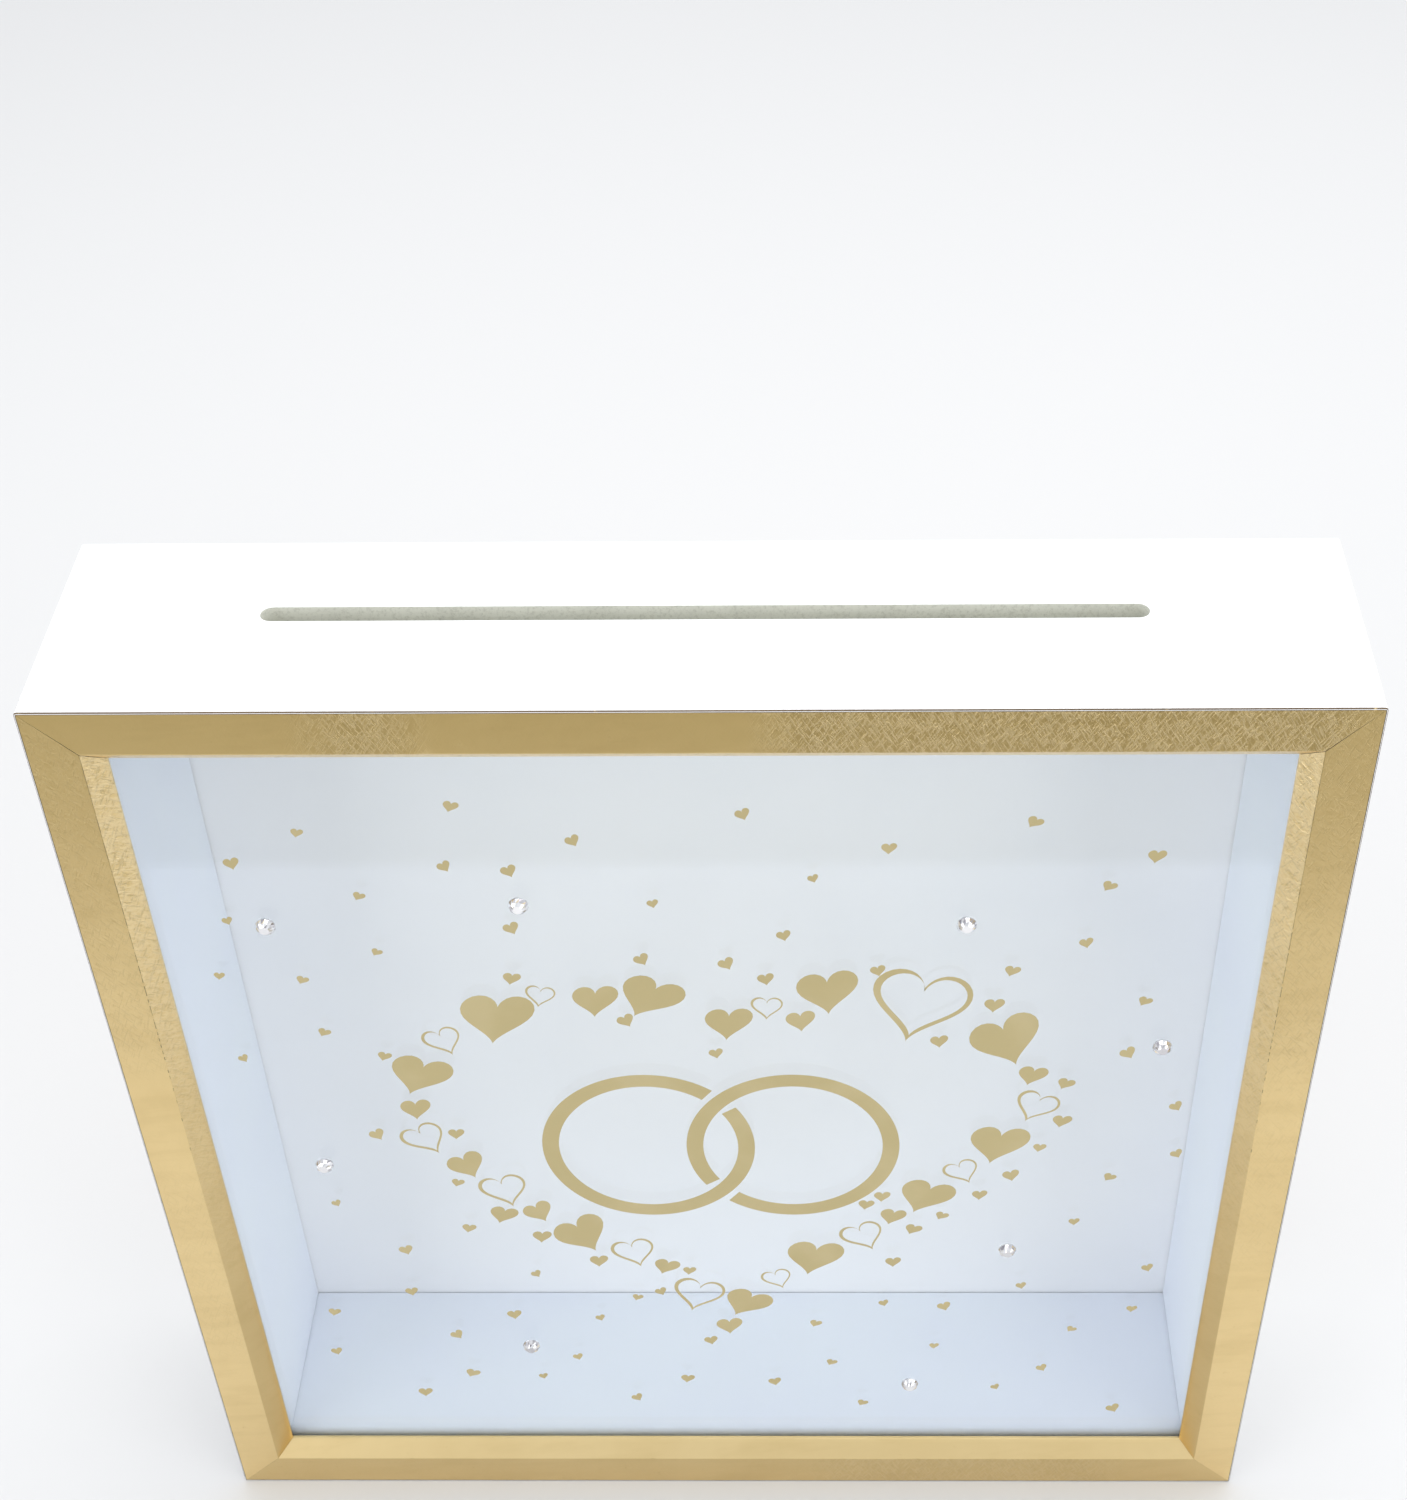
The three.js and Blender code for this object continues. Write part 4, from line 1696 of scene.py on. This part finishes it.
@dataclass
class TurnButtons(Assembly):
    """The brass turn buttons on the rear rim, and the screws that they pivot on.

    Attributes:
        hole: Radius of the pivot hole.
        round_over: Radius of the plate's edges.
        curl: How far the tip is bent up for a fingertip.
        taper: How much narrower the tip is than the pivot end.
        cap: Height of the screw's head.
        shank: Radius of its shank.
        thread: Height of its thread.
        pitch: Its pitch.
        recess: Depth of the crossed recess in its head.
        leans: How far the recess is turned on each side, in radians.
    """

    hole: float = 1.5
    round_over: float = 0.25
    curl: float = 0.55
    taper: float = 1.6
    cap: float = 1.5
    shank: float = 1.3
    thread: float = 0.28
    pitch: float = 1.1
    recess: float = 0.75
    leans: dict[str, float] = field(default_factory=lambda: {"left": 0.5, "right": 0.2})

    def build(self) -> None:
        """Makes four buttons and four screws."""
        for side, lean in self.leans.items():
            for level in ("upper", "lower"):
                self._button(f"{side}_{level}")
                self._screw(f"{side}_{level}", lean)

    def _outline(self, big: float, small: float, arm: float) -> np.ndarray:
        """Draws the plate's outline: a large and a small circle joined by their common tangents.

        The tangents touch both circles where the angle from the arm has the cosine (big - small) / arm.

        Args:
            big: Radius at the pivot.
            small: Radius at the tip.
            arm: Distance between the two centres.

        Returns:
            Points (along the arm, across), once round.
        """
        lean = math.acos((big - small) / arm)
        tip = polar(small, np.linspace(-lean, lean, 24)) + [arm, 0.0]
        pivot = polar(big, np.linspace(lean, 2 * math.pi - lean, 32))
        share = np.linspace(0.0, 1.0, 12)[1:-1, None]
        upper = tip[-1] * (1 - share) + pivot[0] * share
        lower = pivot[-1] * (1 - share) + tip[0] * share
        return np.vstack([tip, upper, pivot, lower])

    def _button(self, place: str) -> None:
        """Makes a button: a ring-shaped grid from its hole over its rounded outer edge and back.

        Each loop lies between the hole and the outline. The first four round the hole's edge, and the last
        four the outline's. The same loops on the other face lead back.

        Args:
            place: Side and level of the button.
        """
        node = f"turn_button_{place}"
        low, high = node_box(node)
        big = (high[0] - low[0]) / 2
        small = big - self.taper / 2
        arm = high[2] - low[2] - big - small
        outline = self._outline(big, small, arm)
        angle, reach = np.arctan2(outline[:, 1], outline[:, 0]), np.linalg.norm(outline, axis=1)
        thick, over = high[1] - low[1], self.round_over
        arc = np.linspace(0.0, QUARTER, 4)
        rows = [(0, over * (1 - math.sin(a)), over * (1 - math.cos(a))) for a in arc[::-1]]
        rows += [(0.5, 0.0, 0.0), (1, -over * 1.4, 0.0)]
        rows += [(1, -over * (1 - math.sin(a)), over * (1 - math.cos(a))) for a in arc]
        rows += [(near, off, thick - drop) for near, off, drop in rows[::-1]]
        middle = (low[0] + high[0]) / 2
        loops = []
        for near, off, height in rows:
            along, across = polar(self.hole * (1 - near) + reach * near + off, angle).T
            bent = self.curl * np.clip((along - arm * 0.72) / (arm * 0.4), 0.0, 1.0) ** 2
            loops.append(joined(middle + across, low[1] + height + bent, high[2] - big - along))
        name, body = f"turn_plate_{place}", f"button_{place}"
        self.ring(name, np.stack(loops), [Coat.BRASS], "brass_plate", node, body=body)

    def _screw(self, place: str, lean: float) -> None:
        """Makes a pan-head screw: a profile turned about its axis, with a crossed recess and a thread.

        The recess is a depth taken off wherever one of two crossed bars covers the head. The thread is a
        triangle wave of the height less the turn, added to the shank's radius.

        Args:
            place: Side and level of the screw.
            lean: How far its recess is turned, in radians.
        """
        node = f"turn_screw_{place}"
        low, high = node_box(node)
        radius = (high[0] - low[0]) / 2
        seat = high[1] - self.cap
        dome = np.linspace(0.02, 1.0, 22)
        fall = self.cap * 0.62 * (1 - np.sqrt(np.maximum(1 - dome**4 * 0.98, 0.0)))
        under = np.array([[radius, seat + 0.12], [radius * 0.97, seat], [self.shank + 0.05, seat]])
        shank = joined(self.shank - self.thread, np.linspace(seat - 0.4, low[1] + 1.6, 64))
        tip = np.array([[self.shank * 0.5, low[1] + 0.7], [0.12, low[1]]])
        path = np.vstack([joined(dome * radius, high[1] - fall), under, shank, tip])
        turn = np.arange(48) * 2 * math.pi / 48
        reach, y = path[:, :1], path[:, 1:]
        wave = np.abs(((y / self.pitch - turn / (2 * math.pi)) % 1.0) * 2 - 1)
        on_shank = (y < seat - 0.3) & (y > low[1] + 1.5)
        across, up = spun(reach + on_shank * self.thread * wave**1.5, 0.0, turn)
        a, b = spun(across, up, lean)
        bars = np.maximum(self._bar(a, b), self._bar(b, a)) * (y > seat + 0.3)
        centre_x, _, centre_z = (low + high) / 2
        points = joined(centre_x + across, y - self.recess * bars, centre_z + up)
        self.sweep(f"pan_screw_{place}", points, [Coat.ZINC], "zinc_steel", node)

    @staticmethod
    def _bar(across: np.ndarray, along: np.ndarray) -> np.ndarray:
        """1 within a bar of the recess, 1.0 wide and 3.0 long, falling to 0 near its edges."""
        wide = np.clip((0.5 - np.abs(across)) / 0.16, 0.0, 1.0)
        return wide * np.clip((1.5 - np.abs(along)) / 0.3, 0.0, 1.0)


# ---------------------------------------------------------------------------------------------------
# Studio
# ---------------------------------------------------------------------------------------------------


@dataclass(frozen=True)
class SoftBox:
    """A square studio light.

    Attributes:
        name: Its name.
        place: Where it hangs, in metres.
        target: What it points at.
        size: Its side.
        power: Its power in watts.
    """

    name: str
    place: Triple
    target: Triple
    size: float
    power: float

    def hang(self) -> None:
        """Hangs the light."""
        data = bpy.data.lights.new(self.name, "AREA")
        data.shape = "SQUARE"
        data.size = self.size
        data.energy = self.power
        light = bpy.data.objects.new(self.name, data)
        light.location = self.place
        light.visible_camera = False
        x, y, z = np.array(self.place) - np.array(self.target)
        light.rotation_euler = Euler((math.atan2(math.hypot(x, y), z), 0.0, math.atan2(x, -y)), "XYZ")
        bpy.context.scene.collection.objects.link(light)


@dataclass
class Studio(Assembly):
    """Camera, floor and soft light.

    Attributes:
        eye: The camera's place from the middle of the frame's front lower edge, in millimetres.
        aim: The camera's turn about X, Y and Z, in degrees.
        lens: Focal length on the sensor.
        sensor: The sensor's width.
        shift: The lens's cross and rise, as shares of the sensor.
        table_edge: Where the part of the floor that the gold mirrors ends, in front of the box.
        floor_reach: How far the floor reaches each way.
        ceiling: Light of the room's upper half.
        below: Light of its lower half.
        lights: The soft boxes.
    """

    eye: Triple = (27.42, -396.3, 617.31)
    aim: Triple = (47.49, 0.675, 0.507)
    lens: float = 55.89
    sensor: float = 36.0
    shift: tuple[float, float] = (-0.058, 0.0777)
    table_edge: float = -300.0
    floor_reach: float = 4000.0
    ceiling: Triple = (0.74, 0.765, 0.8)
    below: Triple = (0.41, 0.385, 0.27)
    lights: tuple[SoftBox, ...] = (
        SoftBox("key", (0.15, 0.3, 1.8), (0.0, 0.1, 0.1), 1.8, 26.0),
        SoftBox("left", (-1.9, -1.5, 0.95), (0.0, 0.0, 0.15), 1.6, 18.0),
        SoftBox("right", (1.9, -1.5, 0.95), (0.0, 0.0, 0.15), 1.6, 16.0),
    )

    def build(self) -> None:
        """Sets up everything."""
        self._camera()
        self._floor()
        self._world()
        for light in self.lights:
            light.hang()
        bpy.context.scene.view_settings.view_transform = "Standard"

    def _camera(self) -> None:
        """Places the camera."""
        data = bpy.data.cameras.new("camera")
        data.lens = self.lens
        data.sensor_width = self.sensor
        data.shift_x, data.shift_y = self.shift
        data.clip_start = 0.01
        camera = bpy.data.objects.new("camera", data)
        x, y, z = self.eye
        camera.location = (x * MM, (y + self.plan.front) * MM, z * MM)
        camera.rotation_euler = Euler([math.radians(a) for a in self.aim], "XYZ")
        bpy.context.scene.collection.objects.link(camera)
        bpy.context.scene.camera = camera

    def _floor(self) -> None:
        """Lays the floor as two flat sheets; the gold doesn't mirror the one in front of the table edge."""
        edge, reach = self.table_edge, self.floor_reach
        for name, near, far in (("studio_floor", edge, reach), ("studio_floor_front", -reach, edge)):
            x = np.linspace(-reach, reach, 9)[:, None]
            points = joined(x, np.linspace(near, far, 5), 0.0).reshape(-1, 3)
            mesh = bpy.data.meshes.new(name)
            mesh.from_pydata((points * MM).tolist(), [], grid_faces(9, 5, wrap_cols=False)[:, ::-1].tolist())
            mesh.materials.append(self.finishes[Coat.FLOOR])
            floor = bpy.data.objects.new(name, mesh)
            floor.visible_glossy = near >= edge
            bpy.context.scene.collection.objects.link(floor)

    def _world(self) -> None:
        """Fills the room with soft light, brighter above than below."""
        bench = Bench(bpy.data.worlds.new("studio_room"), "World")
        toward = bench.node("ShaderNodeTexCoord", {}, "Generated")
        rise = bench.node("ShaderNodeSeparateXYZ", {"Vector": toward}, "Z")
        graded = bench.blend(rise.between(-0.3, 0.02), self.below, self.ceiling)
        light = bench.node("ShaderNodeBackground", {"Color": graded, "Strength": 1.0})
        bpy.context.scene.world = bench.finish(light)


def dress_nails(nodes: dict[str, bpy.types.Object], zinc: bpy.types.Material) -> None:
    """Gives the V-nails, which stay as they are, their zinc.

    Args:
        nodes: The frame's CAD objects.
        zinc: Their finish.
    """
    for name, node in nodes.items():
        if name.startswith("v_nail_"):
            node.data.materials.clear()
            node.data.materials.append(zinc)
            log.info("%s: kept, with a new finish", name)


def main() -> None:
    """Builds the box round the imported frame, piece by piece."""
    logging.basicConfig(level=logging.INFO, format="%(name)s: %(message)s")
    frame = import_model()
    plan = Plan.from_frame(frame["record"])
    finishes = {coat: coat.value.build() for coat in Coat}
    for assembly in (Studio, Case, GoldFrame, Liner, Pane, BackPanel, Print, Stones, TurnButtons):
        assembly(plan, finishes).build()
    dress_nails(frame["nodes"], finishes[Coat.ZINC])


if __name__ == "__main__":
    main()
